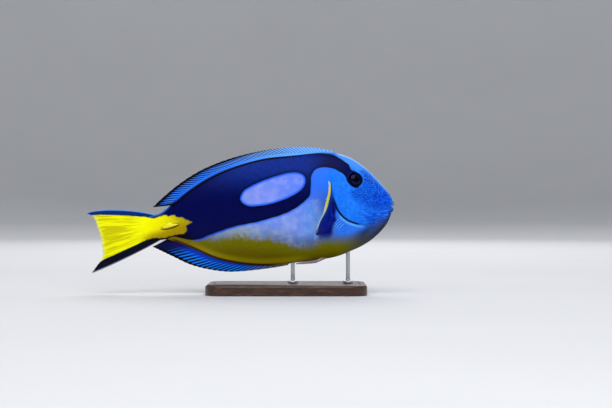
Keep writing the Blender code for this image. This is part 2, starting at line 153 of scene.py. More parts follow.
around = np.linspace(0, 2 * math.pi, SKIN_SIDES, endpoint=False)
upper_share = smooth_step(np.cos(around), -0.12, 0.12)
forward = np.abs(np.cos(around)) ** 0.8
lip_front = LOWER_LIP + (UPPER_LIP - LOWER_LIP) * upper_share[:, None]
lip_line = MOUTH_CORNER + (lip_front - MOUTH_CORNER) * forward[:, None]
lip_centre = np.stack((lip_line[:, 0], -MOUTH_HALF_WIDTH * np.sin(around), lip_line[:, 1]), axis=-1)
lip_radius = LOWER_LIP_RADIUS + (UPPER_LIP_RADIUS - LOWER_LIP_RADIUS) * upper_share
lip_radius *= 0.45 + 0.55 * forward
lip_run = np.roll(lip_centre, -1, axis=0) - np.roll(lip_centre, 1, axis=0)
lip_run /= np.linalg.norm(lip_run, axis=1)[:, None]
lip_out = np.stack((0 * around, -np.sin(around) / MOUTH_HALF_WIDTH, np.cos(around) / 2.6), axis=-1)
lip_ahead = np.cross(lip_run, lip_out)
lip_ahead *= np.sign(lip_ahead[:, :1]) / np.linalg.norm(lip_ahead, axis=1)[:, None]
lip_out = np.cross(lip_ahead, lip_run)
lip_out *= np.sign(np.sum(lip_out * (lip_centre - MOUTH_BACK) * (0, 1, 1), axis=1))[:, None]


def lip_ring(roll):
    """The ring of the lips' surface at an angle about their middle line, where 0 faces outwards."""
    return lip_centre + lip_radius[:, None] * (math.cos(roll) * lip_out + math.sin(roll) * lip_ahead)


# The face's rings end where the bare form passes closest to the outer edge of the lips
lip_edge = lip_ring(LIP_START)
snout_share = np.interp(SNOUT_START, body_samples[:, 0], body_shares)
tries = np.linspace(snout_share, 1, 500)
distances = np.linalg.norm(body_point(tries[:, None], around[None, :]) - lip_edge, axis=2)
face_end = tries[np.argmin(distances, axis=0)]
for _ in range(6):
    face_end = (np.roll(face_end, 1) + 2 * face_end + np.roll(face_end, -1)) / 4
over = np.clip((ring_shares - snout_share) / (1 - snout_share), 0, 1)
shares = ring_shares[:, None] + over[:, None] * (face_end - 1)[None, :]
rings = body_point(shares, around)
pull = smooth_step(over, 0.45, 1.0)
rings = rings + pull[:, None, None] * (lip_edge - rings[-1])[None, :, :]

# Places and lines of the forms worked into the skin, all in the side view
EYE_PLACE = (89.6, 89.0)
NOSTRILS = (((99.6, 88.4), 0.6), ((97.3, 88.8), 0.45))
GILL_LINE = (
    (76.0, 110.0), (74.5, 104.0), (71.0, 89.0), (71.2, 80.0), (73.2, 72.2), (77.0, 63.7), (83.0, 58.0),
    (90.6, 55.0), (98.4, 53.4), (105.0, 49.6), (111.0, 42.0),
)
CHEEK_LINE = ((81.0, 86.0), (79.8, 77.0), (82.2, 69.0), (88.0, 63.5), (96.0, 61.0))
BREAST_ROOT = ((68.6, 78.8), (69.6, 71.0), (72.2, 62.4))
SPINE_PLACE = (-54.8, 53.0)
SPINE_TILT = math.radians(14)
SLIT_HALF = (8.2, 1.9)
SLIT_DROP = 0.9
SHEATH_LINE = ((-63.0, 52.6), (-55.0, 54.6), (-46.5, 56.6))
FOLD_PLACE = (76.2, 54.9)
MUZZLE = (
    (93.6, 95.4), (96.6, 96.2), (101.0, 92.6), (107.6, 85.6), (114.0, 78.6), (117.0, 73.0), (116.0, 69.0),
    (112.0, 66.4), (107.0, 65.8), (101.0, 66.8), (94.6, 69.4), (88.8, 74.4), (85.8, 79.6), (90.0, 81.6),
    (94.6, 85.4), (95.6, 90.4),
)
# Outline of the painted shadow under the breast fin
ARMPIT_SHADOW = (
    (70.2, 84.0), (71.2, 78.0), (72.2, 73.2), (73.8, 70.0), (74.6, 66.2), (74.2, 61.2), (74.6, 57.0),
    (72.4, 53.6), (71.6, 49.0), (69.0, 44.2), (63.0, 43.4), (61.8, 49.6), (65.4, 58.0), (67.4, 68.0),
    (69.0, 78.0),
)


def line_distance(line, points):
    """Distance from side-view points to an open line: sign is + on its left, and share runs along it."""
    line = smooth_line(line)(np.linspace(0, 1, 60))
    best = np.full(len(points), 1e9)
    side = np.ones(len(points))
    share = np.zeros(len(points))
    for i, (start, end) in enumerate(zip(line[:-1], line[1:])):
        run = end - start
        t = np.clip((points - start) @ run / (run @ run), 0, 1)
        offset = points - start - t[:, None] * run
        distance = np.hypot(offset[:, 0], offset[:, 1])
        nearer = distance < best
        best[nearer] = distance[nearer]
        side[nearer] = np.sign(run[0] * offset[nearer, 1] - run[1] * offset[nearer, 0])
        share[nearer] = (i + t[nearer]) / (len(line) - 1)
    return best * side, share


def outline_distance(outline, points):
    """Distance from side-view points to a closed outline, positive inside it."""
    ring = smooth_line((*outline, outline[0]))(np.linspace(0, 1, 8 * len(outline)))
    best = np.full(len(points), 1e9)
    inside = np.zeros(len(points), bool)
    for start, end in zip(ring[:-1], ring[1:]):
        run = end - start
        t = np.clip((points - start) @ run / max(run @ run, 1e-9), 0, 1)
        offset = points - start - t[:, None] * run
        best = np.minimum(best, np.hypot(offset[:, 0], offset[:, 1]))
        spans = (start[1] > points[:, 1]) != (end[1] > points[:, 1])
        crossing = start[0] + (points[:, 1] - start[1]) * run[0] / (run[1] if run[1] else 1e-9)
        inside ^= spans & (points[:, 0] < crossing)
    return np.where(inside, best, -best)


def grid_normals(grid):
    """Outward directions of a closed tube of rings."""
    along = np.gradient(grid, axis=0)
    across = np.roll(grid, -1, axis=1) - np.roll(grid, 1, axis=1)
    normal = np.cross(along, across)
    normal /= np.maximum(np.linalg.norm(normal, axis=2), 1e-12)[:, :, None]
    middle = grid.mean(axis=1, keepdims=True)
    outward = np.sign(np.sum(normal * (grid - middle), axis=2).mean())
    return normal * outward


flat = rings.reshape(-1, 3)
side_view = flat[:, (0, 2)]
view_x, view_z = side_view.T
normals = grid_normals(rings).reshape(-1, 3)
on_side = smooth_step(np.abs(normals[:, 1]), 0.15, 0.6)

# How far the skin rises or sinks in the forms that are worked into it
COVER_RISE = 0.75
GROOVE_DEPTH = 0.5
CHEEK_RISE = 0.22
CHEEK_DEPTH = 0.16
PAD_RISE = 0.55
SHEATH_RISE = 0.55
SLIT_DEPTH = 0.8
EYE_RIM = 0.34
EYE_HOLLOW = 2.2
NOSTRIL_RIM = 0.16
NOSTRIL_DEPTH = 0.9
RIDGE_HEIGHT = 0.8

# The gill cover stands up behind its groove, and the cheek and the root of the breast fin are low folds
gill, gill_share = line_distance(GILL_LINE, side_view)
gill_reach = smooth_step(gill_share, 0.12, 0.3) * smooth_fall(view_x, 91, 99)
# Where the raised gill cover casts a painted shadow into its opening
gill_shadow = gill_reach * smooth_fall(view_z, 71, 79) * smooth_fall(view_x, 90, 95)
cover = smooth_step(gill, -0.1, 0.5) * smooth_fall(gill, 0.8, 9.0)
rise = gill_reach * on_side * (COVER_RISE * cover - GROOVE_DEPTH * swell(gill, -0.35, 0.45))

cheek, cheek_share = line_distance(CHEEK_LINE, side_view)
cheek_reach = np.sin(math.pi * np.clip(cheek_share, 0, 1)) ** 0.7 * on_side
rise += cheek_reach * (CHEEK_RISE * swell(cheek, 0.7, 1.1) - CHEEK_DEPTH * swell(cheek, -0.4, 0.6))

breast, breast_share = line_distance(BREAST_ROOT, side_view)
pad_reach = np.sin(math.pi * np.clip(breast_share, 0.02, 0.98)) ** 0.5
rise += PAD_RISE * on_side * swell(breast, 0, 2.2) * pad_reach

# The tail spine lies in a slit under a low sheath
sheath, sheath_share = line_distance(SHEATH_LINE, side_view)
sheath_reach = np.sin(math.pi * np.clip(sheath_share, 0, 1)) ** 0.6
rise += SHEATH_RISE * sheath_reach * swell(sheath, 0, 0.9)

tilt_cos, tilt_sin = math.cos(SPINE_TILT), math.sin(SPINE_TILT)
slit_x, slit_z = np.array(((tilt_cos, tilt_sin), (-tilt_sin, tilt_cos))) @ (side_view - SPINE_PLACE).T
slit = np.hypot(slit_x / SLIT_HALF[0], (slit_z + SLIT_DROP) / SLIT_HALF[1])
rise -= SLIT_DEPTH * smooth_fall(slit, 0.72, 1.08) * smooth_fall(slit_z, -0.5, 0.7)
# Where painted shade lies in the slit below the spine's blade
shade_under_blade = smooth_fall(slit_z, -0.9, -0.3) * smooth_fall(slit, 0.75, 1.1)

# The eyes and nostrils are hollows with a raised rim
FAR = 99.0
eye_distance = np.full(len(flat), FAR)
nostril_distance = np.full(len(flat), FAR)
for side in (-1, 1):
    point, normal = skin_spot(*EYE_PLACE, side)
    away = flat - point
    away -= (away @ normal)[:, None] * normal
    same_side = side * flat[:, 1] > 2
    distance = np.where(same_side, np.linalg.norm(away, axis=1), FAR)
    eye_distance = np.minimum(eye_distance, distance)
    for place, radius in NOSTRILS:
        point, _ = skin_spot(*place, side)
        distance = np.where(same_side, np.linalg.norm(flat - point, axis=1) / radius, FAR)
        nostril_distance = np.minimum(nostril_distance, distance)
rise += EYE_RIM * swell(eye_distance, 5.7, 0.6) - EYE_HOLLOW * smooth_fall(eye_distance, 3.9, 5.3)
rise += NOSTRIL_RIM * swell(nostril_distance, 1.55, 0.42)
rise -= NOSTRIL_DEPTH * smooth_fall(nostril_distance, 0.25, 1.15)

# The skin rises to a low ridge that holds the roots of the back fin and the belly fin
DORSAL_ROOT = (73.0, -54.0)
ANAL_ROOT = (38.4, -54.5)
near_middle = swell(flat[:, 1], 0, 1.3)
above = normals[:, 2] > 0
line_reach = smooth_step(view_x, -58, -52)
back_reach = smooth_step(view_x, -56, -50) * smooth_fall(view_x, 70, 78) * above
belly_reach = line_reach * smooth_fall(view_x, 36, 40) * ~above
rise += RIDGE_HEIGHT * near_middle * (back_reach + belly_reach)
rise *= np.repeat(smooth_fall(over, 0.55, 0.9), SKIN_SIDES)
face_points = flat + rise[:, None] * normals

lips = [lip_ring(roll) for roll in np.linspace(LIP_START, LIP_END, LIP_RINGS)[1:]]
mouth_shares = np.linspace(0, 1, MOUTH_RINGS + 1)[1:]
mouth_inside = [lips[-1] + (MOUTH_BACK - lips[-1]) * share for share in mouth_shares]
skin_points = np.concatenate((face_points, *lips, *mouth_inside))
row_count = len(skin_points) // SKIN_SIDES

BACK, BELLY = 1, 2


def from_profile(line, start, end, count):
    """How far the skin's points lie from a stretch of the back's or the belly's line, in the side view."""
    sections = body_section(np.interp(np.linspace(start, end, count), body_samples[:, 0], body_shares))
    return np.abs(line_distance(sections[:, (0, line)], side_view)[0])


back_line = from_profile(BACK, -58, 72, 26) + 9 * (1 - line_reach)
belly_line = from_profile(BELLY, -58, 72, 26)
profile_edge = np.minimum(from_profile(BACK, 62, 119, 14), from_profile(BACK, -76, -48, 8))
throat_edge = from_profile(BELLY, 88.3, 119, 8)


def wrapped_faces(rows, columns):
    """Four-sided faces of a tube of rings."""
    row, column = np.meshgrid(np.arange(rows - 1), np.arange(columns), indexing="ij")
    following = (column + 1) % columns
    corners = (row * columns + column, row * columns + following,
               (row + 1) * columns + following, (row + 1) * columns + column)
    return np.stack(corners, axis=-1).reshape(-1, 4)


def add_piece(name, points, faces, attributes=None):
    """A closed mesh object from points in millimetres, with named numbers at its points."""
    mesh = bpy.data.meshes.new(name)
    mesh.from_pydata((np.asarray(points) * MM).tolist(), [], np.asarray(faces).tolist())
    for key, values in (attributes or {}).items():
        layer = mesh.attributes.new(key, "FLOAT", "POINT")
        layer.data.foreach_set("value", np.asarray(values, np.float32))
    bm = bmesh.new()
    bm.from_mesh(mesh)
    bmesh.ops.remove_doubles(bm, verts=bm.verts, dist=0.002 * MM)
    bmesh.ops.recalc_face_normals(bm, faces=bm.faces)
    bm.to_mesh(mesh)
    bm.free()
    mesh.shade_smooth()
    piece = bpy.data.objects.new(name, mesh)
    bpy.context.scene.collection.objects.link(piece)
    return piece


def on_skin(values, inside):
    """Values for all points of the skin: those of the body, and one number for the lips and the mouth."""
    return np.concatenate((values, np.full(len(skin_points) - len(flat), inside)))


# Markings, as outlines in the side view: each is closed but for the belly's upper border
PALETTE = (
    (-84.0, 74.0), (-40.0, 96.0), (0.0, 114.0), (36.0, 119.0), (48.0, 113.0), (56.0, 110.4), (64.0, 109.8),
    (72.0, 108.4), (78.2, 105.1), (84.3, 100.6), (86.3, 96.6), (89.4, 95.2), (92.2, 93.4), (93.7, 90.2),
    (93.4, 86.0), (91.8, 82.9), (89.4, 82.2), (87.0, 83.4), (84.6, 85.3), (82.6, 88.0), (82.2, 90.4),
    (80.2, 93.0), (76.6, 95.4), (72.0, 97.4), (66.0, 98.3), (61.0, 97.8), (57.6, 95.7), (55.6, 92.0),
    (55.0, 86.0), (54.9, 80.6), (53.6, 75.8), (50.0, 72.1), (45.4, 68.3), (40.7, 65.4), (31.3, 61.2),
    (21.9, 58.4), (12.5, 55.8), (-1.6, 53.2), (-15.6, 49.0), (-25.0, 45.4), (-30.5, 43.0), (-36.0, 42.0),
    (-42.0, 42.4), (-48.0, 43.8), (-53.0, 44.4), (-58.0, 42.0), (-66.0, 36.0), (-84.0, 30.0),
)
WINDOW = (
    (0.2, 73.6), (0.8, 76.4), (3.2, 80.3), (8.6, 83.8), (16.8, 87.6), (23.1, 89.9), (30.9, 92.4),
    (38.7, 94.2), (45.6, 94.0), (49.6, 91.8), (50.8, 88.6), (50.0, 84.6), (47.0, 80.6), (39.5, 75.8),
    (27.0, 71.0), (15.0, 68.6), (7.0, 68.5), (2.4, 70.6),
)
WEDGE = (
    (-37.5, 55.9), (-40.2, 57.4), (-42.0, 57.4), (-45.4, 59.6), (-48.4, 59.2), (-51.4, 61.0), (-55.1, 60.4),
    (-58.8, 61.0), (-62.9, 60.1), (-66.9, 59.0), (-74.7, 59.8), (-90.3, 60.9), (-104.0, 61.4),
    (-113.5, 61.3), (-118.0, 60.6), (-124.0, 55.0), (-124.0, 40.0), (-112.0, 24.0), (-107.5, 26.4),
    (-98.1, 30.6), (-86.4, 36.0), (-74.7, 41.4), (-69.2, 43.5), (-62.9, 43.6), (-57.6, 44.2), (-53.6, 45.2),
    (-50.2, 46.2), (-47.3, 46.8), (-44.0, 47.0), (-42.4, 48.5), (-41.8, 50.6), (-42.0, 53.0), (-40.0, 54.0),
)
BELLY_BORDER = (
    (-60.0, 50.0), (-44.0, 48.5), (-37.0, 45.6), (-31.0, 43.4), (-25.0, 43.4), (-15.6, 42.8), (-6.0, 45.0),
    (1.0, 45.2), (7.8, 44.2), (15.0, 42.8), (21.9, 43.0), (26.6, 42.0), (36.0, 39.2), (45.4, 36.4),
    (54.0, 37.2), (65.7, 40.8), (74.0, 40.8), (82.0, 41.2), (90.0, 42.8), (98.0, 47.3), (104.0, 52.0),
    (110.0, 56.8), (115.0, 58.4), (118.0, 61.4), (122.0, 65.0),
)
view_points = skin_points[:, (0, 2)]
edge_waver = 0.15 * np.sin(view_points[:, 0] * 0.55) * np.sin(view_points[:, 1] * 0.7 + 1.0)
above_border, _ = line_distance(BELLY_BORDER, view_points)
lip_rows = np.concatenate((np.zeros(len(flat)), np.repeat(np.linspace(0, 1, LIP_RINGS)[1:], SKIN_SIDES),
                           np.full(MOUTH_RINGS * SKIN_SIDES, 1.6)))
skin = add_piece("skin", skin_points, wrapped_faces(row_count, SKIN_SIDES), {
    "palette": outline_distance(PALETTE, view_points) + edge_waver,
    "window": outline_distance(WINDOW, view_points) + 0.4 * edge_waver,
    "wedge": outline_distance(WEDGE, view_points),
    "belly": -above_border + edge_waver,
    "gill": on_skin(gill, FAR),
    "gill_shadow": on_skin(gill_shadow * on_side, 0),
    "eye": on_skin(eye_distance, FAR),
    "nostril": on_skin(nostril_distance, FAR),
    "slit": on_skin(shade_under_blade, 0),
    "sheath": on_skin(np.abs(sheath) + 9 * (1 - sheath_reach), FAR),
    "armpit_shadow": on_skin(outline_distance(ARMPIT_SHADOW, side_view), -FAR),
    "muzzle": on_skin(outline_distance(MUZZLE, side_view), -FAR),
    "folds": on_skin(np.hypot(view_x - FOLD_PLACE[0], view_z - FOLD_PLACE[1]), FAR),
    "back_line": on_skin(back_line, FAR),
    "belly_line": on_skin(belly_line, FAR),
    "profile": on_skin(profile_edge, 2),
    "throat": on_skin(throat_edge, 2),
    "mouth": lip_rows,
})


def tint(code):
    """The shader's colour for a paint given as #rrggbb."""
    parts = [int(code[i:i + 2], 16) / 255 for i in (1, 3, 5)]
    return (*[((c + 0.055) / 1.055) ** 2.4 if c > 0.04045 else c / 12.92 for c in parts], 1.0)


class Paint:
    """Lays nodes into one material or node group and joins them, in the order a painter works.

    A mask is an output, a number, or a ramp given as (value, start, end) or (value, start, end, low, high).
    A colour is an output or a paint given as #rrggbb.
    """

    def __init__(self, tree):
        self.tree = tree

    def join(self, node, inputs):
        for key, value in inputs.items():
            if isinstance(value, bpy.types.NodeSocket):
                self.tree.links.new(value, node.inputs[key])
            else:
                colour = isinstance(value, str) and value.startswith("#")
                node.inputs[key].default_value = tint(value) if colour else value

    def add(self, kind, inputs=None, **settings):
        node = self.tree.nodes.new(kind)
        for name, value in settings.items():
            setattr(node, name, value)
        self.join(node, inputs or {})
        return node

    def ramp(self, value, start, end, low=0.0, high=1.0):
        inputs = {0: value, 1: start, 2: end, 3: low, 4: high}
        return self.add("ShaderNodeMapRange", inputs, interpolation_type="SMOOTHSTEP").outputs[0]

    def mask(self, given):
        return self.ramp(*given) if isinstance(given, tuple) else given

    def math(self, operation, first, second=0.0, clamp=False):
        inputs = {0: self.mask(first), 1: self.mask(second)}
        return self.add("ShaderNodeMath", inputs, operation=operation, use_clamp=clamp).outputs[0]

    def plus(self, first, second):
        return self.math("ADD", first, second)

    def minus(self, first, second):
        return self.math("SUBTRACT", first, second)

    def times(self, first, *others):
        product = self.mask(first)
        for other in others:
            product = self.math("MULTIPLY", product, other)
        return product

    def apart(self, first, second):
        """How far two values lie apart."""
        return self.math("ABSOLUTE", self.minus(first, second))

    def swing(self, noise, reach):
        """A noise as a value that swings about 0."""
        return self.times(self.minus(noise, 0.5), reach)

    def wave(self, value, pitch):
        return self.math("SINE", self.times(value, 2 * math.pi / pitch))

    def mix(self, share, under, over, mode="MIX"):
        inputs = {0: self.mask(share), 6: under, 7: over}
        return self.add("ShaderNodeMix", inputs, data_type="RGBA", blend_type=mode).outputs[2]

    def lay(self, under, over, *masks):
        """One colour laid over another where all the masks let it."""
        return self.mix(self.times(*masks), under, over)

    def read(self, name):
        return self.add("ShaderNodeAttribute", attribute_name=name).outputs["Fac"]

    def place(self):
        """Object coordinates in millimetres, as a vector and its three parts."""
        coords = self.add("ShaderNodeTexCoord").outputs["Object"]
        scaled = self.add("ShaderNodeVectorMath", {0: coords, 3: 1 / MM}, operation="SCALE").outputs[0]
        return scaled, self.add("ShaderNodeSeparateXYZ", {0: scaled}).outputs

    def stretch(self, where, *scale):
        return self.add("ShaderNodeMapping", {"Vector": where, "Scale": scale}).outputs[0]

    def noise(self, where, scale, detail=2.0, roughness=0.5):
        inputs = {"Vector": where, "Scale": scale, "Detail": detail, "Roughness": roughness}
        return self.add("ShaderNodeTexNoise", inputs).outputs[0]

    def relief(self, shader, height, strength, depth):
        bump = self.add("ShaderNodeBump", {"Strength": strength, "Distance": depth * MM, "Height": height})
        self.join(shader, {"Normal": bump.outputs[0]})


def new_paint(name):
    """A fresh material with only its Principled shader, and the Paint that works on it."""
    material = bpy.data.materials.new(name)
    material.use_nodes = True
    shader = material.node_tree.nodes["Principled BSDF"]
    return material, shader, Paint(material.node_tree)


def socket_maker(group):
    """Adds a named socket to a node group."""
    def add(name, kind, way="INPUT", value=None):
        socket = group.interface.new_socket(name, in_out=way, socket_type=f"NodeSocket{kind}")
        if value is not None:
            socket.default_value = value
    return add


# The fine grain of scales, used by the skin
scale_group = bpy.data.node_groups.new("fine_scales", "ShaderNodeTree")
socket = socket_maker(scale_group)
socket("Place", "Vector")
socket("Scales per mm", "Float", value=1.6)
socket("Height", "Float", "OUTPUT")
socket("Fleck", "Float", "OUTPUT")
paint = Paint(scale_group)
given = paint.add("NodeGroupInput").outputs
longer = paint.stretch(given["Place"], 0.8, 1.0, 1.15)
cells = paint.add("ShaderNodeTexVoronoi", {"Vector": longer, "Scale": given["Scales per mm"]}, feature="F1")
dome = paint.ramp(cells.outputs["Distance"], 0.1, 0.75, 1.0, 0.0)
height = paint.plus(paint.times(dome, 0.75), paint.times(paint.noise(given["Place"], 3.1, 3.0), 0.25))
fleck = paint.add("ShaderNodeSeparateColor", {0: cells.outputs["Color"]}).outputs[0]
paint.add("NodeGroupOutput", {"Height": height, "Fleck": fleck})


def tail_yellow(paint, x, z):
    """The yellow of the tail's root and fin, dull at its point and golden along its lower edge."""
    lemon = paint.mix((x, -62, -42), "#ece602", "#b4a60c")
    lemon = paint.lay(lemon, "#f6f602", (x, -60, -78))
    above_edge = paint.minus(z, paint.times(paint.plus(x, 57.0), 0.3))
    return paint.lay(lemon, "#a68a02", (above_edge, 54.5, 47.0), (x, -84, -68, 0.0, 0.9))


# Ramps run over places along x and z, over distances from the lines above, or over noises from 0 to 1
SCALES_PER_MM = 1.7
COMB_PITCH = 1.5
FOLD_PITCH = 2.5
FOOT_RAY_PITCH = 1.5
FOOT_RAY_SLOPE = 0.35

skin_paint, shader, paint = new_paint("skin_paint")
where, (x, y, z) = paint.place()
palette, window, wedge, belly = (paint.read(name) for name in ("palette", "window", "wedge", "belly"))
from_gill, from_back, from_belly = (paint.read(name) for name in ("gill", "profile", "belly_line"))
soft = paint.noise(where, 0.09, 3.0)
cloud = paint.noise(where, 0.35, 4.0, 0.6)
fine = paint.noise(where, 1.4, 3.0)
mottled = paint.noise(where, 0.17, 2.2)

# Blue of the flank: bright high up, lavender in the middle, grey down towards the yellow belly
flank = paint.mix((z, 56, 84), "#7b98e6", "#2e74f6")
flank = paint.lay(flank, "#0a74f2", (x, 58, 76))
grey = paint.mix((x, -4, 22), "#a0ae9c", "#6c84b2")
grey = paint.lay(grey, "#4c6a9e", (x, 26, 44))
flank = paint.lay(flank, grey, (paint.plus(belly, paint.times(cloud, 4.0)), -12, 0.0), (x, 78, 62))
flank = paint.lay(flank, "#6aaafe", (x, 44, 54), (x, 66, 58), (z, 41, 50), (z, 76, 64), 0.75)
flank = paint.lay(flank, "#a8b8e0", (fine, 0.4, 0.75, 0.0, 0.22), (z, 76, 58))
flank = paint.lay(flank, "#a9b6ea", (mottled, 0.44, 0.72, 0.0, 0.4), (z, 84, 72), (x, 76, 66))
flank = paint.lay(flank, "#4a78ee", (mottled, 0.52, 0.28, 0.0, 0.35))
flank = paint.lay(flank, "#4a6bc0", (x, 20, -35), 0.8)

# Head: clear blue cheek and forehead, deeper towards the snout and the throat
head = paint.mix((x, 94, 114), "#1474ee", "#0550da")
head = paint.lay(head, "#3490fc", (cloud, 0.42, 0.62, 0.0, 0.4))
head = paint.lay(head, "#0a5fe6", (fine, 0.55, 0.75, 0.0, 0.4))
head = paint.lay(head, "#0650d6", (z, 70, 60), (x, 86, 100, 0.0, 0.8))
# Darker near the outline under the jaw: partly the chin's own deep blue, partly painted shade
chin_dark_and_shade = paint.times((paint.read("throat"), 4.5, 0.5), (x, 96, 106))
head = paint.lay(head, "#04237c", chin_dark_and_shade, 0.8)
# Painted highlight: paler along the top of the head, where light from above falls
head = paint.lay(head, "#4590f6", (from_back, 9.0, 2.0), (x, 116, 98), 0.8)
combed = paint.wave(paint.plus(from_back, cloud), COMB_PITCH)
head = paint.lay(head, "#84c8ff", (combed, 0.0, 1.0, 0.0, 0.28), (from_back, 7.5, 5.0), (x, 98, 88))
creases = paint.noise(paint.stretch(where, 0.16, 0.5, 0.95), 1.0, 3.0)
jaw = paint.times((z, 69, 64), (x, 88, 98))
head = paint.lay(head, "#3a98ff", jaw, (creases, 0.52, 0.66, 0.0, 0.7))
head = paint.lay(head, "#0438b0", jaw, (creases, 0.46, 0.33, 0.0, 0.75))
# Painted highlight: a pale line along the profile of the snout
head = paint.lay(head, "#8cc6ff", (from_back, 1.7, 0.5), (x, 119, 112, 0.0, 0.75))
colour = paint.lay(flank, head, (paint.plus(from_gill, paint.times(soft, 2)), -1.5, 3.0), (x, 66, 74))

# Dark dots over the snout and under the eye, so close that they run together into worm lines
bent = paint.add("ShaderNodeCombineXYZ", {0: paint.plus(x, paint.swing(fine, 1.7)), 1: z}).outputs[0]
dots = paint.add("ShaderNodeTexVoronoi", {"Vector": bent, "Scale": 0.74, "Randomness": 0.6},
                 feature="F1", voronoi_dimensions="2D").outputs["Distance"]
speckled = paint.times((paint.read("muzzle"), -2.5, 2.5), (x, 119, 114))
colour = paint.lay(colour, "#0a50dc", speckled, 0.45)
colour = paint.lay(colour, "#0325a0", (paint.plus(dots, paint.swing(cloud, 0.5)), 0.52, 0.2), speckled, 0.9)

# Pale skin under the gill opening, with the folds that stripe it
under_gill = paint.times((from_gill, -3.4, -2.0), (from_gill, -0.4, -1.1), (x, 75, 79), (x, 100, 88))
colour = paint.lay(colour, "#5cb0ff", under_gill, (z, 68, 62, 0.0, 0.9))
striped = paint.times((paint.read("folds"), 6.5, 2.5), (cloud, 0.3, 0.6, 0.4, 1.0), (from_gill, -1.2, -2.2))
folds = paint.times(paint.wave(paint.minus(x, z), FOLD_PITCH), striped)
colour = paint.lay(colour, "#6cbcff", (folds, 0.1, 0.8, 0.0, 0.75))
colour = paint.lay(colour, "#0640c4", (folds, -0.1, -0.8, 0.0, 0.65))

# Yellow belly, with a soft cloudy upper border in a grey haze, turning grey under the throat
near_belly = paint.plus(belly, paint.times(cloud, 3.0))
haze = paint.mix((x, 82, 98), "#4a689c", "#0a2a6c")
colour = paint.lay(colour, haze, (near_belly, -6.5, 1.0), (x, 60, 68), (x, 110, 96))
fringe = paint.noise(paint.stretch(where, 0.5, 0.3, 0.3), 0.8, 1.5)
ragged = paint.plus(paint.swing(fringe, 5.0), paint.swing(cloud, 7.0))
ragged = paint.plus(belly, paint.times(ragged, (x, 74, 46, 0.3, 1.0)))
gold = paint.mix((fine, 0.3, 0.75, 0.1, 0.8), "#646202", "#7c7803")
gold = paint.lay(gold, "#6a5a02", (belly, 4.0, 12.0, 0.0, 0.7))
# Painted light: paler gold along the belly's lower edge
gold = paint.lay(gold, "#a4960c", (from_belly, 7.0, 1.5), (x, 60, 40))
gold = paint.lay(gold, "#6e5a0a", (x, -22, -48, 0.0, 0.75))
gold = paint.lay(gold, "#3f423c", (x, 76, 97))
gold = paint.lay(gold, "#333e58", (x, 92, 106))
# The same painted shade under the jaw, over the throat's grey
gold = paint.lay(gold, "#0a1638", chin_dark_and_shade, 0.6)
border_start, border_end = paint.ramp(x, 40, 66, -4.3, -6.0), paint.ramp(x, 40, 66, 3.2, 4.2)
colour = paint.lay(colour, gold, (ragged, border_start, border_end))

# Dark blue palette, near black at its edges and along the back, with a bright rim outside it
# Painted highlight: lighter blue high on the back, where light from above falls on the palette
back_highlight = paint.times((x, -50, 10), (z, 72, 100), (x, 72, 48, 0.05, 1.0), (cloud, 0.2, 0.7, 0.6, 1.0))
navy = paint.mix(back_highlight, "#000446", "#00288a")
navy = paint.lay(navy, "#010420", (palette, 3.0, 0.4, 0.0, 0.75))
navy = paint.lay(navy, "#010208", (x, -34, -44), (z, 50, 46))
navy = paint.lay(navy, "#010420", (window, -3.2, -0.6, 0.0, 0.6))
rim = paint.mix((x, -14, 12), "#1d4fd0", "#2a6cf2")
colour = paint.lay(colour, rim, (palette, -2.0, -0.5), (x, 84, 70), (x, -39, -30), (x, -10, 14, 0.95, 0.75))
colour = paint.lay(colour, navy, (palette, -0.45, 0.45))

# Window in the palette: lavender inside a bright rim
lavender = paint.mix((x, 8, 48), "#788fe6", "#5f84ee")
lavender = paint.lay(lavender, "#9ba4ee", (mottled, 0.38, 0.7, 0.0, 0.5))
lavender = paint.lay(lavender, "#2a66ee", (window, 2.0, 0.8))
colour = paint.lay(colour, lavender, (window, -0.45, 0.45))

# Yellow wedge of the tail, ragged where it runs to a point in the blue
lemon = paint.lay(tail_yellow(paint, x, z), "#6a5e06", (fine, 0.52, 0.68, 0.0, 0.45), (x, -66, -52))
colour = paint.lay(colour, lemon, (paint.plus(wedge, paint.swing(cloud, 3.0)), -0.7, 0.6))

# Dark line where the back fin is set in, the fin's bright foot above it, and a brown line at the belly fin
foot_height = paint.times((x, 64, 34, 0.3, 1.5), (x, -56, -36, 0.6, 1.0))
over_foot = paint.minus(paint.read("back_line"), foot_height)
colour = paint.lay(colour, "#01020c", (paint.plus(over_foot, (x, 24, 66, 0.0, 1.5)), 2.0, 1.3))
foot = paint.mix((x, -30, 50), "#2f80f6", "#62aaf8")
foot_rays = paint.wave(paint.minus(z, paint.times(x, FOOT_RAY_SLOPE)), FOOT_RAY_PITCH)
foot = paint.lay(foot, "#0f4ed4", (foot_rays, 0.1, 0.9), (x, 34, -12, 0.0, 0.65))
foot = paint.lay(foot, "#03186e", (over_foot, -1.4, 0.0), (x, 6, -22, 0.0, 0.85))
colour = paint.lay(colour, foot, (over_foot, 0.25, -0.25), (x, -53, -49))
colour = paint.lay(colour, "#4c3204", (from_belly, 1.5, 0.9), (x, 36, 20, 0.3, 1.0), (x, -56, -50))

# Painted shadow of the breast fin on the skin under it, and the light line that trails behind the fin
armpit_shadow_edge = paint.plus(paint.read("armpit_shadow"), paint.swing(cloud, 2.0))
colour = paint.lay(colour, "#000a72", (armpit_shadow_edge, paint.ramp(z, 46, 56, -3.0, -1.2), 1.4), (z, 38.5, 48))
trail = paint.apart(paint.minus(x, paint.times(z, 0.21)), 49.2)
colour = paint.lay(colour, "#82c2ff", (trail, 2.2, 0.3, 0.0, 0.55), (z, 39, 47), (z, 68, 58))
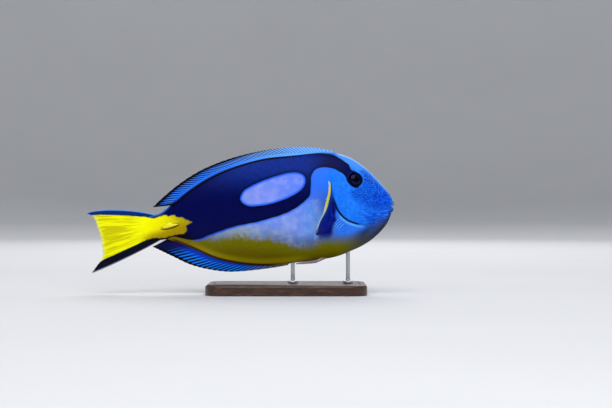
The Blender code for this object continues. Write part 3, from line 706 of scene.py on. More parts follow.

# Painted shade along the gill opening, in the nostrils, in the slit under the tail spine and inside the
# mouth;
# a near-black ring round each eye. Painted highlights on the sheath, the lips and the top of the tail's root.
from_eye, mouth = paint.read("eye"), paint.read("mouth")
colour = paint.lay(colour, "#000422", (paint.apart(from_gill, -0.3), 1.1, 0.4), paint.read("gill_shadow"), 0.93)
colour = paint.lay(colour, "#01032c", (from_eye, 6.1, 5.5))
colour = paint.lay(colour, "#000118", (from_eye, 5.5, 4.9))
colour = paint.lay(colour, "#031a70", (paint.read("nostril"), 1.15, 0.7, 0.0, 0.8))
colour = paint.lay(colour, "#7a4e02", paint.read("slit"), 0.92)
colour = paint.lay(colour, "#f6f23c", (paint.read("sheath"), 1.3, 0.3), 0.8)
colour = paint.lay(colour, "#3c94fa", (mouth, 0.05, 0.3), (mouth, 0.75, 0.5), (z, 66, 70, 0.1, 0.7))
colour = paint.lay(colour, "#02030f", (mouth, 0.8, 1.1))
colour = paint.lay(colour, "#2272d8", (from_back, 2.0, 0.5), (x, -53, -59), (wedge, 0.0, -1.0, 0.0, 0.75))

# Scale grain in colour, gloss and relief
scales = paint.add("ShaderNodeGroup", node_tree=scale_group)
paint.join(scales, {"Place": where, "Scales per mm": SCALES_PER_MM})
colour = paint.mix(paint.times((scales.outputs["Fleck"], 0.2, 0.9), 0.10), colour, "#ffffff", "SOFT_LIGHT")
colour = paint.mix(0.16, colour, paint.mix(soft, "#6f6f6f", "#909090"), "OVERLAY")
paint.join(shader, {"Base Color": colour, "Roughness": paint.ramp(cloud, 0.3, 0.7, 0.36, 0.47),
                    "Specular IOR Level": 0.04, "Coat Weight": 0.035, "Coat Roughness": 0.26})
paint.relief(shader, paint.plus(scales.outputs["Height"], paint.times(cloud, 1.2)), 0.35, 0.12)
skin.data.materials.append(skin_paint)
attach(skin, "root")
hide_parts("head", "trunk", "tail_base")

# Eyes: glass eyes of a taxidermist's kind, a dark iris and pupil under a clear domed front.
# Each is a flattened ball set in its socket, standing a little proud of the skin.
EYE_RADIUS = 5.05
EYE_DEPTH = 2.8
EYE_SUNK = 1.2
EYE_RINGS = 40
EYE_SIDES = 64
PUPIL_RADIUS = 2.5
# The hidden back of the ball counts as this far from the middle of the pupil
EYE_BACK = 9.0

eye_paint, shader, paint = new_paint("eye_glass")
out_from_middle = paint.read("from_middle")
spokes = paint.noise(paint.place()[0], 2.2, 4.0)
iris = paint.mix((spokes, 0.3, 0.7), "#01021e", "#030840")
iris = paint.lay(iris, "#071046", (out_from_middle, PUPIL_RADIUS + 0.6, PUPIL_RADIUS + 0.1))
iris = paint.lay(iris, "#00000a", (out_from_middle, PUPIL_RADIUS + 0.25, PUPIL_RADIUS - 0.05))
iris = paint.lay(iris, "#010105", (out_from_middle, 4.0, 4.8))
paint.join(shader, {"Base Color": iris, "Roughness": paint.ramp(spokes, 0.2, 0.8, 0.10, 0.16),
                    "Specular IOR Level": 0.02, "Coat Weight": 0.16, "Coat Roughness": 0.02})

for side, word in ((1, "left"), (-1, "right")):
    point, normal = skin_spot(*EYE_PLACE, side)
    level = np.cross(normal, (0, 0, 1))
    level /= np.linalg.norm(level)
    upward = np.cross(level, normal)
    tilt = np.linspace(0, math.pi, EYE_RINGS)
    spin = np.linspace(0, 2 * math.pi, EYE_SIDES, endpoint=False)
    radius = EYE_RADIUS * np.sin(tilt)
    dome = EYE_DEPTH * np.cos(tilt)
    points = (
        point - normal * EYE_SUNK
        + radius[:, None, None] * (np.cos(spin)[None, :, None] * level + np.sin(spin)[None, :, None] * upward)
        + dome[:, None, None] * normal
    ).reshape(-1, 3)
    from_middle = np.where(tilt < math.pi / 2, radius, EYE_BACK)
    eye = add_piece(f"glass_eye_{word}", points, wrapped_faces(EYE_RINGS, EYE_SIDES),
                    {"from_middle": np.repeat(from_middle, EYE_SIDES)})
    eye.data.materials.append(eye_paint)
    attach(eye, "root")
    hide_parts(f"eye_{word}")

# Tail spines: a sharp blade of bone folded forwards into its slit on each side of the tail's root.
# Each is a flattened point, thick at its rear hinge, cast in one and painted as old bone.
SPINE_HALF = (7.0, 1.1, 1.3)
SPINE_RINGS = 40
SPINE_SIDES = 24
SPINE_BLUNTNESS = 2.6
SPINE_TAPER = 0.62
SPINE_HOOK = 0.5
SPINE_EDGE = 1.3

spine_paint, shader, paint = new_paint("spine_bone")
where, (x, y, z) = paint.place()
streaks = paint.noise(paint.stretch(where, 0.4, 3.0, 3.0), 1.2, 3.0)
bone = paint.mix((streaks, 0.3, 0.7), "#d8ca0c", "#f2ec24")
bone = paint.lay(bone, "#c09a0c", (x, -59.5, -62.0))
paint.join(shader, {"Base Color": bone, "Roughness": paint.ramp(streaks, 0.2, 0.8, 0.28, 0.4)})
paint.relief(shader, streaks, 0.4, 0.1)

for side, word in ((1, "left"), (-1, "right")):
    rear, middle, front = (skin_spot(SPINE_PLACE[0] + ahead, SPINE_PLACE[1], side)[0]
                           for ahead in (-SPINE_HALF[0], 0, SPINE_HALF[0]))
    flare = math.atan2(front[1] - rear[1], front[0] - rear[0])
    level = np.array((math.cos(flare), math.sin(flare), 0))
    sideways = np.array((-math.sin(flare), math.cos(flare), 0))
    ahead = level * math.cos(SPINE_TILT) + np.array((0, 0, 1)) * math.sin(SPINE_TILT)
    upward = np.cross(ahead, sideways)
    share = np.linspace(-1, 1, SPINE_RINGS)
    towards_point = np.clip(share, 0, 1)
    width = np.sqrt(np.clip(1 - np.abs(share) ** SPINE_BLUNTNESS, 0, 1))
    width *= 1 - SPINE_TAPER * towards_point**1.3
    hook = -SPINE_HOOK * towards_point**2
    spin = np.linspace(0, 2 * math.pi, SPINE_SIDES, endpoint=False)
    edge = np.sign(np.sin(spin)) * np.abs(np.sin(spin)) ** SPINE_EDGE
    points = (
        middle
        + (share * SPINE_HALF[0])[:, None, None] * ahead
        + (width * SPINE_HALF[1])[:, None, None] * np.cos(spin)[None, :, None] * sideways
        + (hook[:, None] + width[:, None] * SPINE_HALF[2] * edge[None, :])[:, :, None] * upward
    ).reshape(-1, 3)
    spine = add_piece(f"bone_spine_{word}", points, wrapped_faces(SPINE_RINGS, SPINE_SIDES))
    spine.data.materials.append(spine_paint)
    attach(spine, "root")
    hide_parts(f"tail_spine_{word}")

# Back fin: one long low fin from the nape to the tail, nine stiff spines and twenty soft rays in a thin web.
# The web is cast as one sheet and set in the ridge of the back. The rays are laid along it and fork early.
DORSAL_EDGE = (
    (72.6, 111.4), (62.0, 113.4), (46.5, 114.7), (31.0, 113.6), (15.2, 111.3), (-0.4, 107.8),
    (-16.0, 102.9), (-31.7, 96.0), (-47.3, 86.2), (-60.5, 75.4), (-68.8, 67.4),
)
FIN_SINK = 2.2


def fin_web(name, place, rays, rows, thickness, notch, extra=None):
    """A closed thin sheet over a fan of rays, a little drawn in at its edge between them.

    place(across, along) gives points of the middle surface, across over the rays and along each of them, from
    0 to 1. thickness is that of the web in the middle of the fin.
    """
    across = np.linspace(0, 1, 6 * rays + 1)[:, None] * np.ones((1, rows))
    crest = 0.5 - 0.5 * np.cos(2 * math.pi * rays * across)
    along = np.linspace(0, 1, rows)[None, :] * (1 - notch * (1 - crest))
    middle = place(across, along)
    normal = np.cross(np.gradient(middle, axis=0), np.gradient(middle, axis=1))
    normal /= np.maximum(np.linalg.norm(normal, axis=2), 1e-9)[:, :, None]
    # Thicker on the rays than between them, thinner towards the edge, and swollen at the root
    half = (0.7 + 0.3 * crest) * (1.25 - 0.8 * along) + 1.6 * np.clip(1 - 4 * along, 0, 1) ** 2
    half *= thickness / 2
    half[:, -1] *= 0.45
    points = np.concatenate(((middle + half[:, :, None] * normal).reshape(-1, 3),
                             (middle - half[:, :, None] * normal).reshape(-1, 3)))
    columns = across.shape[0]
    number = np.arange(columns * rows).reshape(columns, rows)
    quads = np.stack((number[:-1, :-1], number[1:, :-1], number[1:, 1:], number[:-1, 1:]), axis=-1)
    quads = quads.reshape(-1, 4)
    border = np.concatenate((number[:, 0], number[-1, 1:], number[-2::-1, -1], number[0, -2:0:-1]))
    following = np.roll(border, -1)
    rim = np.stack((border, following, following + columns * rows, border + columns * rows), axis=-1)
    faces = np.concatenate((quads, quads[:, ::-1] + columns * rows, rim))
    values = {"across": np.tile(across.ravel(), 2), "along": np.tile(along.ravel(), 2)}
    if extra:
        values.update(extra(points))
    return add_piece(name, points, faces, values)


ray_tree = bpy.data.node_groups.new("fin_rays", "GeometryNodeTree")
socket = socket_maker(ray_tree)
socket("Centre lines", "Geometry")
socket("Thickness", "Float", value=1.0)
socket("Sides", "Int", value=8)
socket("Finish", "Material")
socket("Rays", "Geometry", "OUTPUT")
nodes = Paint(ray_tree)
given = nodes.add("NodeGroupInput").outputs
lines = nodes.add("GeometryNodeMeshToCurve", {"Mesh": given["Centre lines"]}).outputs[0]
radius = nodes.add("GeometryNodeInputNamedAttribute", {"Name": "radius"}, data_type="FLOAT")
radius = nodes.times(radius.outputs["Attribute"], given["Thickness"])
ring = nodes.add("GeometryNodeCurvePrimitiveCircle", {"Resolution": given["Sides"], "Radius": 1.0}).outputs[0]
tubes = {"Curve": lines, "Profile Curve": ring, "Scale": radius, "Fill Caps": True}
tubes = nodes.add("GeometryNodeCurveToMesh", tubes).outputs[0]
real = nodes.add("GeometryNodeRealizeInstances", {0: tubes}).outputs[0]
painted = nodes.add("GeometryNodeSetMaterial", {"Geometry": real, "Material": given["Finish"]}).outputs[0]
nodes.add("NodeGroupOutput", {"Rays": painted})


def fin_rays(name, place, rays, spines, branches, fork, radii, material, extra=None, points_each=26):
    """The rays of a fin as one piece: round rods along its fan, the first ones plain, the others branching.

    fork is the share of the way out at which a ray parts, and radii those at its root and tip.
    """
    points, edges, values = [], [], {"radius": [], "across": [], "along": []}
    for ray in range(rays):
        middle = (ray + 0.5) / rays
        count = 1 if ray < spines else branches
        for branch in range(count):
            start = 0.0 if branch == count // 2 else fork + 0.04 * branch
            along = np.linspace(start, 1.0, max(6, round(points_each * (1 - start))))
            part = (branch - (count - 1) / 2) / count * smooth_step(along, fork, fork + 0.3)
            across = middle + part / rays
            radius = radii[0] + (radii[1] - radii[0]) * along ** 0.8
            radius = radius * (1.25 if ray < spines else 1)
            offset = len(points)
            points.extend(place(across, along))
            edges.extend((offset + i, offset + i + 1) for i in range(len(along) - 1))
            values["radius"].extend(radius * MM)
            values["across"].extend(across)
            values["along"].extend(along)
    mesh = bpy.data.meshes.new(name)
    mesh.from_pydata((np.array(points) * MM).tolist(), edges, [])
    if extra:
        values.update(extra(np.array(points)))
    for key, numbers in values.items():
        mesh.attributes.new(key, "FLOAT", "POINT").data.foreach_set("value", np.asarray(numbers, np.float32))
    piece = bpy.data.objects.new(name, mesh)
    bpy.context.scene.collection.objects.link(piece)
    modifier = piece.modifiers.new("rays", "NODES")
    modifier.node_group = ray_tree
    settings = {"Thickness": 1.0, "Sides": 8, "Finish": material}
    for item in ray_tree.interface.items_tree:
        if item.name in settings and item.in_out == "INPUT":
            modifier[item.identifier] = settings[item.name]
    graph = bpy.context.evaluated_depsgraph_get()
    plain = bpy.data.meshes.new_from_object(piece.evaluated_get(graph))
    piece.modifiers.clear()
    piece.data = plain
    plain.name = name
    plain.shade_smooth()
    return piece


def crests(paint, turns, times):
    """1 on each line of a fan and 0 half way between two."""
    part = paint.math("FRACT", paint.times(turns, times))
    return paint.minus(1.0, paint.apart(paint.times(part, 2), 1))


# Streaks along the rays and their forks, used by the paint of every fin
streak_group = bpy.data.node_groups.new("fin_streaks", "ShaderNodeTree")
socket = socket_maker(streak_group)
for label, value in (("Across", 0.0), ("Along", 0.0), ("Rays", 20.0), ("Branches", 3.0), ("Fork", 0.3)):
    socket(label, "Float", value=value)
socket("Streak", "Float", "OUTPUT")
paint = Paint(streak_group)
given = paint.add("NodeGroupInput").outputs
turns = paint.times(given["Across"], given["Rays"])
forked = paint.math("MULTIPLY", paint.minus(given["Along"], given["Fork"]), 4, clamp=True)
streak = {0: forked, 2: crests(paint, turns, 1), 3: crests(paint, turns, given["Branches"])}
streak = paint.add("ShaderNodeMix", streak, data_type="FLOAT").outputs[0]
paint.add("NodeGroupOutput", {"Streak": streak})


def streaks_of(paint, rays, branches, fork):
    """Across, along and the streaks of a fan in a material."""
    across, along = paint.read("across"), paint.read("along")
    node = paint.add("ShaderNodeGroup", node_tree=streak_group)
    paint.join(node, {"Across": across, "Along": along, "Rays": rays, "Branches": branches, "Fork": fork})
    return across, along, node.outputs[0]


def finish_fin(shader, paint, colour, streak):
    """Gloss and relief of a fin's paint."""
    grain = paint.noise(paint.place()[0], 1.6, 3.0)
    paint.join(shader, {"Base Color": colour, "Roughness": paint.ramp(grain, 0.3, 0.7, 0.34, 0.46),
                        "Specular IOR Level": 0.05, "Coat Weight": 0.04, "Coat Roughness": 0.2})
    paint.relief(shader, paint.plus(streak, paint.times(grain, 0.4)), 0.5, 0.15)


DORSAL_RAYS = 29
DORSAL_SPINES = 9
DORSAL_BRANCHES = 2
DORSAL_FORK = 0.05
DORSAL_STREAK_FORK = -0.2
DORSAL_LEANS = (
    (0.0, 0.4), (0.1, 6.5), (0.25, 11.5), (0.45, 15.0), (0.7, 15.6), (0.86, 17.0), (0.94, 17.4),
    (1.0, 14.8),
)
# How far the rays of the back and belly fins bow and their edges wave
FIN_BOW = 0.12
FIN_WAVE = 0.35


def back_height(x):
    return np.interp(x, body_samples[:, 0], body_samples[:, 1])


def belly_height(x):
    return np.interp(x, body_samples[:, 0], body_samples[:, 2])


def leaning_fin(roots, height, edge, leans, ripples):
    """The middle surface of a fin along the body, whose rays lean back and which waves a little at its edge.

    roots are the ends of its root, height that of the root's line, edge the outline of its tips, and leans
    rows of across and how far the tip lies behind the root there.
    """
    outline = smooth_line(edge)(np.linspace(0, 1, 400))[::-1]
    leans = smooth_line(leans)(np.linspace(0, 1, 200))

    def place(across, along):
        across, along = np.broadcast_arrays(across, along)
        root_x = roots[0] + (roots[1] - roots[0]) * across
        tip_x = root_x - np.interp(across, leans[:, 0], leans[:, 1])
        tip_z = np.interp(tip_x, outline[:, 0], outline[:, 1])
        bow = FIN_BOW * along * (1 - along) * (tip_z - height(root_x))
        wave = FIN_WAVE * along**2 * np.sin(across * ripples)
        return np.stack((root_x + (tip_x - root_x) * along, wave,
                         height(root_x) + (tip_z - height(root_x)) * along + bow), axis=-1)

    return place


def dorsal_root(x):
    """The line of the back fin's root, which rises at its rear end."""
    return back_height(x) - FIN_SINK * (1 - 0.7 * smooth_step(-x, 46, 54))


dorsal_place = leaning_fin(DORSAL_ROOT, dorsal_root, DORSAL_EDGE, DORSAL_LEANS, ripples=23.0)

# Its streaks are forked from the root on, and the black margin has a tooth on each ray
dorsal_paint, shader, paint = new_paint("dorsal_paint")
across, along, streak = streaks_of(paint, DORSAL_RAYS, DORSAL_BRANCHES, DORSAL_STREAK_FORK)
pale = paint.mix((across, 0.25, 0.8), "#86c0fc", "#3486fa")
deep = paint.mix((across, 0.1, 0.36), "#4a90f2", "#021466")
deep = paint.lay(deep, "#0a3cc0", (along, 0.5, 0.2, 0.0, 0.8))
colour = paint.mix((streak, 0.3, 0.8), deep, pale)
colour = paint.lay(colour, "#241a68", (along, 0.6, 0.95), (across, 0.84, 0.96))
colour = paint.lay(colour, "#0416a0", (along, 0.45, 0.85), (across, 0.3, 0.6, 0.0, 0.5))
toothed = paint.plus(along, paint.times(paint.minus(1.0, streak), (across, 0.2, 0.5, 0.0, 0.19)))
margin = (paint.minus(toothed, (across, 0.12, 0.6, 1.02, 0.84)), -0.03, 0.03)
margin = paint.math("MAXIMUM", margin, (across, 0.965, 0.985))
colour = paint.lay(colour, "#02030c", margin)
finish_fin(shader, paint, colour, streak)

dorsal_web = fin_web("dorsal_web", dorsal_place, DORSAL_RAYS, rows=22, thickness=0.75, notch=0.02)
dorsal_web.data.materials.append(dorsal_paint)
dorsal_rays = fin_rays("dorsal_rays", dorsal_place, DORSAL_RAYS, DORSAL_SPINES, DORSAL_BRANCHES, DORSAL_FORK,
                       radii=(0.48, 0.2), material=dorsal_paint)
for piece in (dorsal_web, dorsal_rays):
    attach(piece, "root")
    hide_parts("dorsal_fin")

# Belly fin: three short spines and twenty-three soft rays in a thin web under the rear half of the body.
# It is cast and set like the back fin, in the ridge of the belly.
ANAL_EDGE = (
    (37.2, 22.2), (27.0, 20.4), (16.0, 18.9), (0.0, 17.3), (-10.0, 17.0), (-24.0, 18.7), (-39.5, 22.7),
    (-55.0, 29.9), (-68.9, 36.6),
)
ANAL_RAYS = 26
ANAL_SPINES = 3
ANAL_BRANCHES = 1
ANAL_FORK = 0.1
ANAL_LEANS = ((0.0, 1.2), (0.1, 9.0), (0.25, 17.0), (0.45, 22.0), (0.7, 23.5), (0.86, 21.5), (1.0, 14.4))
anal_place = leaning_fin(ANAL_ROOT, lambda x: belly_height(x) + FIN_SINK, ANAL_EDGE, ANAL_LEANS,
                         ripples=19.0)

anal_paint, shader, paint = new_paint("anal_paint")
across, along, streak = streaks_of(paint, ANAL_RAYS, ANAL_BRANCHES, ANAL_FORK)
pale = paint.mix((across, 0.04, 0.3), "#6f7898", "#1280f6")
pale = paint.lay(pale, "#070c40", (across, 0.68, 0.88))
base = paint.mix((across, 0.04, 0.25), "#5c678a", "#0436b8")
base = paint.lay(base, "#150c5c", (across, 0.72, 0.86))
base = paint.lay(base, "#06051c", (across, 0.86, 0.97))
deep = paint.mix((across, 0.04, 0.25), "#44507e", "#010a44")
deep = paint.lay(deep, base, (along, 0.6, 0.42))
colour = paint.mix((streak, 0.35, 0.85), deep, pale)
colour = paint.lay(colour, base, (along, 0.5, 0.28))
toothed = paint.plus(along, paint.times(paint.minus(1.0, streak), 0.1))
toothed = paint.plus(toothed, (across, 0.4, 0.8, 0.0, 0.07))
margin = paint.times((toothed, 0.9, 0.98), (across, 0.15, 0.4))
margin = paint.math("MAXIMUM", margin, (across, 0.96, 0.995))
colour = paint.lay(colour, "#010210", margin)
finish_fin(shader, paint, colour, streak)

anal_web = fin_web("anal_web", anal_place, ANAL_RAYS, rows=22, thickness=0.75, notch=0.02)
anal_web.data.materials.append(anal_paint)
anal_rays = fin_rays("anal_rays", anal_place, ANAL_RAYS, ANAL_SPINES, ANAL_BRANCHES, ANAL_FORK,
                     radii=(0.48, 0.2), material=anal_paint)
for piece in (anal_web, anal_rays):
    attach(piece, "root")
    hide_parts("anal_fin")

# Tail fin: eighteen branching rays in a web with long drawn-out corners, set in the end of the tail's root.
# The yellow of the tail runs on over it, between a blue upper and a black lower edge.
TAIL_EDGE = (
    (-120.4, 62.4), (-117.4, 61.4), (-114.6, 59.0), (-112.0, 52.0), (-109.6, 45.0), (-108.2, 38.0),
    (-107.9, 31.0), (-109.4, 25.8), (-112.6, 21.4), (-116.5, 16.0),
)
TAIL_ROOT = np.array(((-64.0, 0.0, 59.5), (-60.0, 0.0, 43.5)))
TAIL_RAYS = 18
TAIL_BRANCHES = 3
TAIL_FORK = 0.3
TAIL_BOWS = (4.2, -1.6)
TAIL_WAVE = 0.5
TAIL_RIPPLES = 9.0
tail_edge = smooth_line(TAIL_EDGE)


def tail_place(across, along):
    across, along = np.broadcast_arrays(across, along)
    root = TAIL_ROOT[0] + (TAIL_ROOT[1] - TAIL_ROOT[0]) * across[..., None]
    edge = tail_edge(across)
    tip = np.stack((edge[..., 0], 0 * across, edge[..., 1]), axis=-1)
    point = root + (tip - root) * along[..., None]
    bow = TAIL_BOWS[0] + (TAIL_BOWS[1] - TAIL_BOWS[0]) * across
    point[..., 2] += bow * np.abs(2 * across - 1) ** 1.5 * (4 * along * (1 - along)) ** 0.62
    point[..., 1] += TAIL_WAVE * along**2 * np.sin(across * TAIL_RIPPLES)
    return point


def tail_values(points):
    """How far points of the tail fin lie inside the yellow wedge."""
    return {"wedge": outline_distance(WEDGE, np.asarray(points)[:, (0, 2)])}


tail_paint, shader, paint = new_paint("tail_paint")
across, along, streak = streaks_of(paint, TAIL_RAYS, TAIL_BRANCHES, TAIL_FORK)
where, (x, y, z) = paint.place()
fanned = {0: paint.times(across, 26.0), 1: paint.times(along, 2.0)}
uneven = paint.noise(paint.add("ShaderNodeCombineXYZ", fanned).outputs[0], 1.0)
yellow = tail_yellow(paint, x, z)
yellow = paint.lay(yellow, "#c2bc02", (uneven, 0.42, 0.62), (along, 0.24, 0.6), (across, 0.95, 0.6, 0.2, 0.9))
yellow = paint.lay(yellow, "#b8b004", (streak, 0.5, 0.1), (along, 0.22, 0.5, 0.0, 0.35))
frayed = paint.plus(along, paint.swing(uneven, 0.12))
yellow = paint.lay(yellow, "#dfe6da", (frayed, 0.95, 1.0), (across, 0.5, 0.85, 0.25, 0.9))
upper = paint.mix((streak, 0.2, 0.8), "#020b3e", "#083684")
# Painted highlight along the fin's upper edge
upper = paint.lay(upper, "#2e84de", (across, 0.03, 0.012))
lower = paint.mix((streak, 0.2, 0.8), "#010207", "#060c26")
# Painted highlight along the fin's lower edge
lower = paint.lay(lower, "#8f8fa8", (across, 0.965, 0.99, 0.0, 0.7))
edges = paint.mix((across, 0.4, 0.6), upper, lower)
torn = paint.plus(paint.read("wedge"), paint.swing(paint.noise(where, 0.3, 4.0), 0.8))
colour = paint.mix((torn, -0.4, 0.4), edges, yellow)
finish_fin(shader, paint, colour, streak)

tail_web = fin_web("tail_web", tail_place, TAIL_RAYS, rows=44, thickness=0.8, notch=0.008, extra=tail_values)
tail_web.data.materials.append(tail_paint)
tail_rays = fin_rays("tail_rays", tail_place, TAIL_RAYS, 0, TAIL_BRANCHES, TAIL_FORK,
                     radii=(0.5, 0.17), material=tail_paint, extra=tail_values, points_each=40)
for piece in (tail_web, tail_rays):
    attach(piece, "root")
    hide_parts("caudal_fin")

# Breast fins: a fan of fifteen rays on each side, spread out from behind the gill cover.
# Each is dark blue with a yellow rear edge, and its root is set in a low pad of the skin.
BREAST_TOP = (69.0, 78.0)
BREAST_BOTTOM = (72.2, 62.8)
BREAST_TIPS = (
    (68.0, 52.0, 87.4), (67.6, 50.8, 77.0), (64.6, 45.5, 65.6), (60.2, 38.5, 54.4), (58.8, 30.5, 46.2),
    (66.6, 23.0, 49.0),
)
BREAST_RAYS = 15
BREAST_BRANCHES = 3
BREAST_FORK = 0.3
BREAST_BOW = 2.2
BREAST_WAVE = 0.3
BREAST_RIPPLES = 17.0
breast_tips = smooth_line(BREAST_TIPS)
root_steps = np.linspace(0, 1, 30)

breast_paint, shader, paint = new_paint("breast_paint")
across, along, streak = streaks_of(paint, BREAST_RAYS, BREAST_BRANCHES, BREAST_FORK)
navy = paint.mix((streak, 0.2, 0.8), "#00055a", "#0520a8")
navy = paint.lay(navy, "#1450d8", (along, 0.3, 0.0))
navy = paint.lay(navy, "#000d62", (across, 0.6, 0.9), (along, 0.55, 1.0, 0.0, 0.8))
edge = paint.mix((across, 0.3, 0.55), "#f0ec10", "#a8d0f0")
past_rim = paint.minus(paint.plus(along, paint.times(streak, 0.03)), (across, 0.3, 0.6, 0.82, 0.93))
colour = paint.lay(navy, edge, (past_rim, -0.02, 0.04), (across, 0.8, 0.6))
finish_fin(shader, paint, colour, streak)

for side, word in ((1, "left"), (-1, "right")):
    roots = np.array([
        skin_spot(BREAST_TOP[0] + (BREAST_BOTTOM[0] - BREAST_TOP[0]) * s,
                  BREAST_TOP[1] + (BREAST_BOTTOM[1] - BREAST_TOP[1]) * s, side)[0]
        for s in root_steps
    ])
    roots[:, 1] -= side * FIN_SINK

    def breast_place(across, along, roots=roots, side=side):
        across, along = np.broadcast_arrays(across, along)
        root = np.stack([np.interp(across, root_steps, roots[:, i]) for i in range(3)], axis=-1)
        tip = breast_tips(across) * (1, side, 1)
        point = root + (tip - root) * along[..., None]
        bow = BREAST_BOW * 4 * along * (1 - along)
        point[..., 0] += bow + BREAST_WAVE * along**2 * np.sin(across * BREAST_RIPPLES)
        return point

    web = fin_web(f"breast_web_{word}", breast_place, BREAST_RAYS, rows=36, thickness=0.6, notch=0.015)
    web.data.materials.append(breast_paint)
    rods = fin_rays(f"breast_rays_{word}", breast_place, BREAST_RAYS, 1, BREAST_BRANCHES, BREAST_FORK,
                    radii=(0.45, 0.14), material=breast_paint)
    for piece in (web, rods):
        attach(piece, "root")
        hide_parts(f"pectoral_fin_{word}")

# Pelvic fins: a spine and three rays on each side, folded back close under the belly.
# They are cast thin in pinkish grey and set in the skin behind the breast.
PELVIC_RAYS = 4
PELVIC_BRANCHES = 3
PELVIC_FORK = 0.35
PELVIC_START = 67.0
PELVIC_LENGTH = 23.6
PELVIC_SLANT = math.radians(40)
PELVIC_WIDTHS = (2.6, 4.4, 0.9)
PELVIC_OUT = 2.9
PELVIC_SUNK = 1.6
PELVIC_DROP = 2.6

pelvic_paint, shader, paint = new_paint("pelvic_paint")
across, along, streak = streaks_of(paint, PELVIC_RAYS, PELVIC_BRANCHES, PELVIC_FORK)
pinkish = paint.mix((streak, 0.2, 0.8), "#8a7f92", "#cbbcc4")
finish_fin(shader, paint, paint.lay(pinkish, "#8c8420", (along, 0.25, 0.0)), streak)

for side, word in ((1, "left"), (-1, "right")):

    def pelvic_place(across, along, side=side):
        across, along = np.broadcast_arrays(across, along)
        x = PELVIC_START - PELVIC_LENGTH * along
        out = PELVIC_OUT - along
        drop = -PELVIC_SUNK + PELVIC_DROP * np.minimum(1, 3 * along)
        shares = ((1 - along) ** 2, 2 * along * (1 - along), along**2)
        spread = sum(width * share for width, share in zip(PELVIC_WIDTHS, shares))
        offset = (across - 0.5) * spread
        height = belly_height(x) - drop - offset * math.sin(PELVIC_SLANT)
        return np.stack((x, side * (out - offset * math.cos(PELVIC_SLANT)), height), axis=-1)

    web = fin_web(f"pelvic_web_{word}", pelvic_place, PELVIC_RAYS, rows=30, thickness=0.6, notch=0.02)
    web.data.materials.append(pelvic_paint)
    rods = fin_rays(f"pelvic_rays_{word}", pelvic_place, PELVIC_RAYS, 1, PELVIC_BRANCHES, PELVIC_FORK,
                    radii=(0.42, 0.14), material=pelvic_paint)
    for piece in (web, rods):
        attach(piece, "root")
        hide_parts(f"pelvic_fin_{word}")

# Stand base: a plate of oiled walnut with round corners, which lies flat and carries the two rods.
# Its top edge is rounded over, and a fine bead is cut round it.
BASE_SIZE = (124.0, 72.0, 8.0)
BASE_MIDDLE = 36.0
BASE_CORNER = 12.0
CORNER_STEPS = 14
BASE_ROUNDING = 1.8
BEAD_PLACE = 5.2
BEAD_CUT = ((-0.6, 0.0), (-0.4, 0.08), (-0.2, 0.4), (0.0, 0.45), (0.2, 0.4), (0.4, 0.08), (0.6, 0.0))

top = BASE_SIZE[2]
base_profile = [(0.9, 0.0), (0.35, 0.15), (0.0, 0.7), (0.0, top - BASE_ROUNDING)]
base_profile += [(BASE_ROUNDING * (1 - math.cos(a)), top - BASE_ROUNDING * (1 - math.sin(a)))
                 for a in np.radians((15, 30, 45, 60, 75, 90))]
base_profile += [(BEAD_PLACE + along, top - cut) for along, cut in BEAD_CUT]
base_points = []
for inset, height in base_profile:
    corner = max(BASE_CORNER - inset, 1.0)
    half_x, half_y = np.array(BASE_SIZE[:2]) / 2 - inset - corner
    for quarter, (sx, sy) in enumerate(((1, 1), (-1, 1), (-1, -1), (1, -1))):
        for a in np.linspace(quarter, quarter + 1, CORNER_STEPS) * math.pi / 2:
            x, y = sx * half_x + corner * math.cos(a), sy * half_y + corner * math.sin(a)
            base_points.append((BASE_MIDDLE + x, y, height))
loop_size = 4 * CORNER_STEPS
base_faces = wrapped_faces(len(base_profile), loop_size).tolist()
base_faces.append(list(range(loop_size)))
base_faces.append(list(range(len(base_points) - loop_size, len(base_points))))
mesh = bpy.data.meshes.new("walnut_base")
mesh.from_pydata((np.array(base_points) * MM).tolist(), [], base_faces)
bm = bmesh.new()
bm.from_mesh(mesh)
bmesh.ops.recalc_face_normals(bm, faces=bm.faces)
bm.to_mesh(mesh)
bm.free()
mesh.shade_smooth()
mesh.set_sharp_from_angle(angle=math.radians(28))
walnut_base = bpy.data.objects.new("walnut_base", mesh)
bpy.context.scene.collection.objects.link(walnut_base)

wood_paint, shader, paint = new_paint("walnut")
where, (x, y, z) = paint.place()
drift = paint.noise(paint.stretch(where, 0.012, 0.05, 0.05), 1.0, 3.0)
year_rings = paint.math("FRACT", paint.plus(paint.times(y, 0.16), paint.times(drift, 9.0)))
pores = paint.noise(paint.stretch(where, 0.16, 2.6, 2.6), 1.0, 4.0, 0.65)
wood = paint.mix(paint.apart(paint.times(year_rings, 2), 1), "#3b2113", "#6b4328")
wood = paint.mix((pores, 0.45, 0.62), "#2a160c", wood)
paint.join(shader, {"Base Color": wood, "Roughness": paint.ramp(pores, 0.4, 0.6, 0.5, 0.33),
                    "Coat Weight": 0.25, "Coat Roughness": 0.22})
paint.relief(shader, pores, 0.4, 0.12)
walnut_base.data.materials.append(wood_paint)
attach(walnut_base, "root")
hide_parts("stand_base")

# Stand rods: two brushed steel pins, each turned with a flange that sits on the base and a ring above it.
# Each is set in the base and ends inside the cast belly.
ROD_RADIUS = 1.6
ROD_PLACES = {"front": 84.0, "rear": 40.9}
ROD_SIDES = 48
ROD_SUNK = 1.2
FLANGE = ((0.0, 8.3), (3.9, 8.3), (4.2, 8.6), (4.2, 9.6), (3.95, 9.95), (3.4, 10.05))
FLANGE_TOP = 10.05
FLANGE_HOLLOW = 1.5
RING = ((0.0, 13.0), (0.18, 13.1), (0.18, 13.9), (0.0, 14.0))

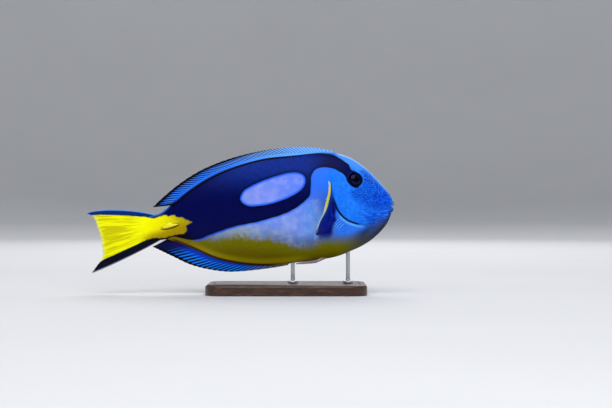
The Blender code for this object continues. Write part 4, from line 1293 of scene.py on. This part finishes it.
steel_paint, shader, paint = new_paint("brushed_steel")
brush = paint.noise(paint.stretch(paint.place()[0], 0.6, 0.6, 9.0), 1.0, 4.0, 0.7)
paint.join(shader, {"Base Color": paint.mix(brush, "#a9acb0", "#d3d5d8"), "Metallic": 1.0,
                    "Roughness": paint.ramp(brush, 0.2, 0.8, 0.2, 0.38)})
paint.relief(shader, brush, 0.25, 0.05)

for word, rod_x in ROD_PLACES.items():
    top = float(belly_height(rod_x)) + ROD_SUNK
    hollow = [(FLANGE_HOLLOW * (1 - math.sin(a)), FLANGE_HOLLOW * (1 - math.cos(a)))
              for a in np.radians((15, 35, 55, 75, 90))]
    profile = [*FLANGE, *((ROD_RADIUS + out, FLANGE_TOP + up) for out, up in hollow)]
    profile += [(ROD_RADIUS + out, height) for out, height in RING]
    profile += [(ROD_RADIUS, top), (0.0, top)]
    spin = np.linspace(0, 2 * math.pi, ROD_SIDES, endpoint=False)
    points = [(rod_x + r * math.cos(a), r * math.sin(a), height) for r, height in profile for a in spin]
    rod = add_piece(f"steel_rod_{word}", points, wrapped_faces(len(profile), ROD_SIDES))
    rod.data.set_sharp_from_angle(angle=math.radians(35))
    rod.data.materials.append(steel_paint)
    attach(rod, "root")
    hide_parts(f"stand_rod_{word}")

# Studio: a pale floor that curves up far away all round, one large soft light above the camera, a weaker one
# on the other side and one behind, and the camera square to the right side as in the photograph.
FLOOR_PROFILE = (
    (0.0, 0.0), (1.8, 0.0), (2.2, 0.03), (2.6, 0.16), (2.9, 0.42), (3.05, 0.8), (3.1, 1.4), (3.1, 2.6),
)
FLOOR_SIDES = 96
spin = np.linspace(0, 2 * math.pi, FLOOR_SIDES, endpoint=False)
points = [(r * math.cos(a), r * math.sin(a), height) for r, height in FLOOR_PROFILE for a in spin]
floor = add_piece("studio_floor", np.array(points) / MM, wrapped_faces(len(FLOOR_PROFILE), FLOOR_SIDES))
floor_paint, shader, paint = new_paint("pale_floor")
mottle = paint.noise(paint.place()[0], 0.004)
paint.join(shader, {"Base Color": paint.mix(mottle, "#d9dadd", "#e0e1e4"), "Roughness": 0.85,
                    "Specular IOR Level": 0.1})
floor.data.materials.append(floor_paint)

world = bpy.data.worlds.new("studio")
bpy.context.scene.world = world
world.use_nodes = True
sky = world.node_tree.nodes["Background"]
sky.inputs["Color"].default_value = (0.9, 0.94, 1.0, 1)
sky.inputs["Strength"].default_value = 0.24


def soft_light(name, place, target, size, power, mirrored=True):
    """A square soft light that faces a point. One that isn't mirrored shows in no gloss."""
    data = bpy.data.lights.new(name, "AREA")
    data.size = size
    data.energy = power
    lamp = bpy.data.objects.new(name, data)
    bpy.context.scene.collection.objects.link(lamp)
    lamp.location = place
    away = np.array(place) - np.array(target)
    lamp.rotation_euler = (math.acos(away[2] / np.linalg.norm(away)), 0, math.atan2(away[0], -away[1]))
    lamp.visible_camera = False
    lamp.visible_glossy = mirrored


LIT_POINT = (0.03, 0, 0.06)
soft_light("key", (-0.1, -1.0, 1.75), LIT_POINT, 1.7, 26)
soft_light("fill", (0.45, -1.6, 0.45), LIT_POINT, 1.0, 11, False)
soft_light("back", (0.1, 1.3, 1.2), (0.0, 0, 0.06), 1.2, 15)

# One photo pixel is 0.782 mm in the fish's middle plane, and the photo's centre is this point of it
PHOTO_WIDTH = 612 * 0.782 * MM
PHOTO_CENTRE = (0.0512, 0.0, 0.0700)
LENS = 85
SENSOR = 36
camera_data = bpy.data.cameras.new("camera")
camera_data.lens = LENS
camera_data.sensor_width = SENSOR
camera = bpy.data.objects.new("camera", camera_data)
bpy.context.scene.collection.objects.link(camera)
camera.location = (PHOTO_CENTRE[0], -PHOTO_WIDTH * LENS / SENSOR, PHOTO_CENTRE[2])
camera.rotation_euler = (math.radians(90), 0, 0)
bpy.context.scene.camera = camera
bpy.context.scene.view_settings.view_transform = "Standard"
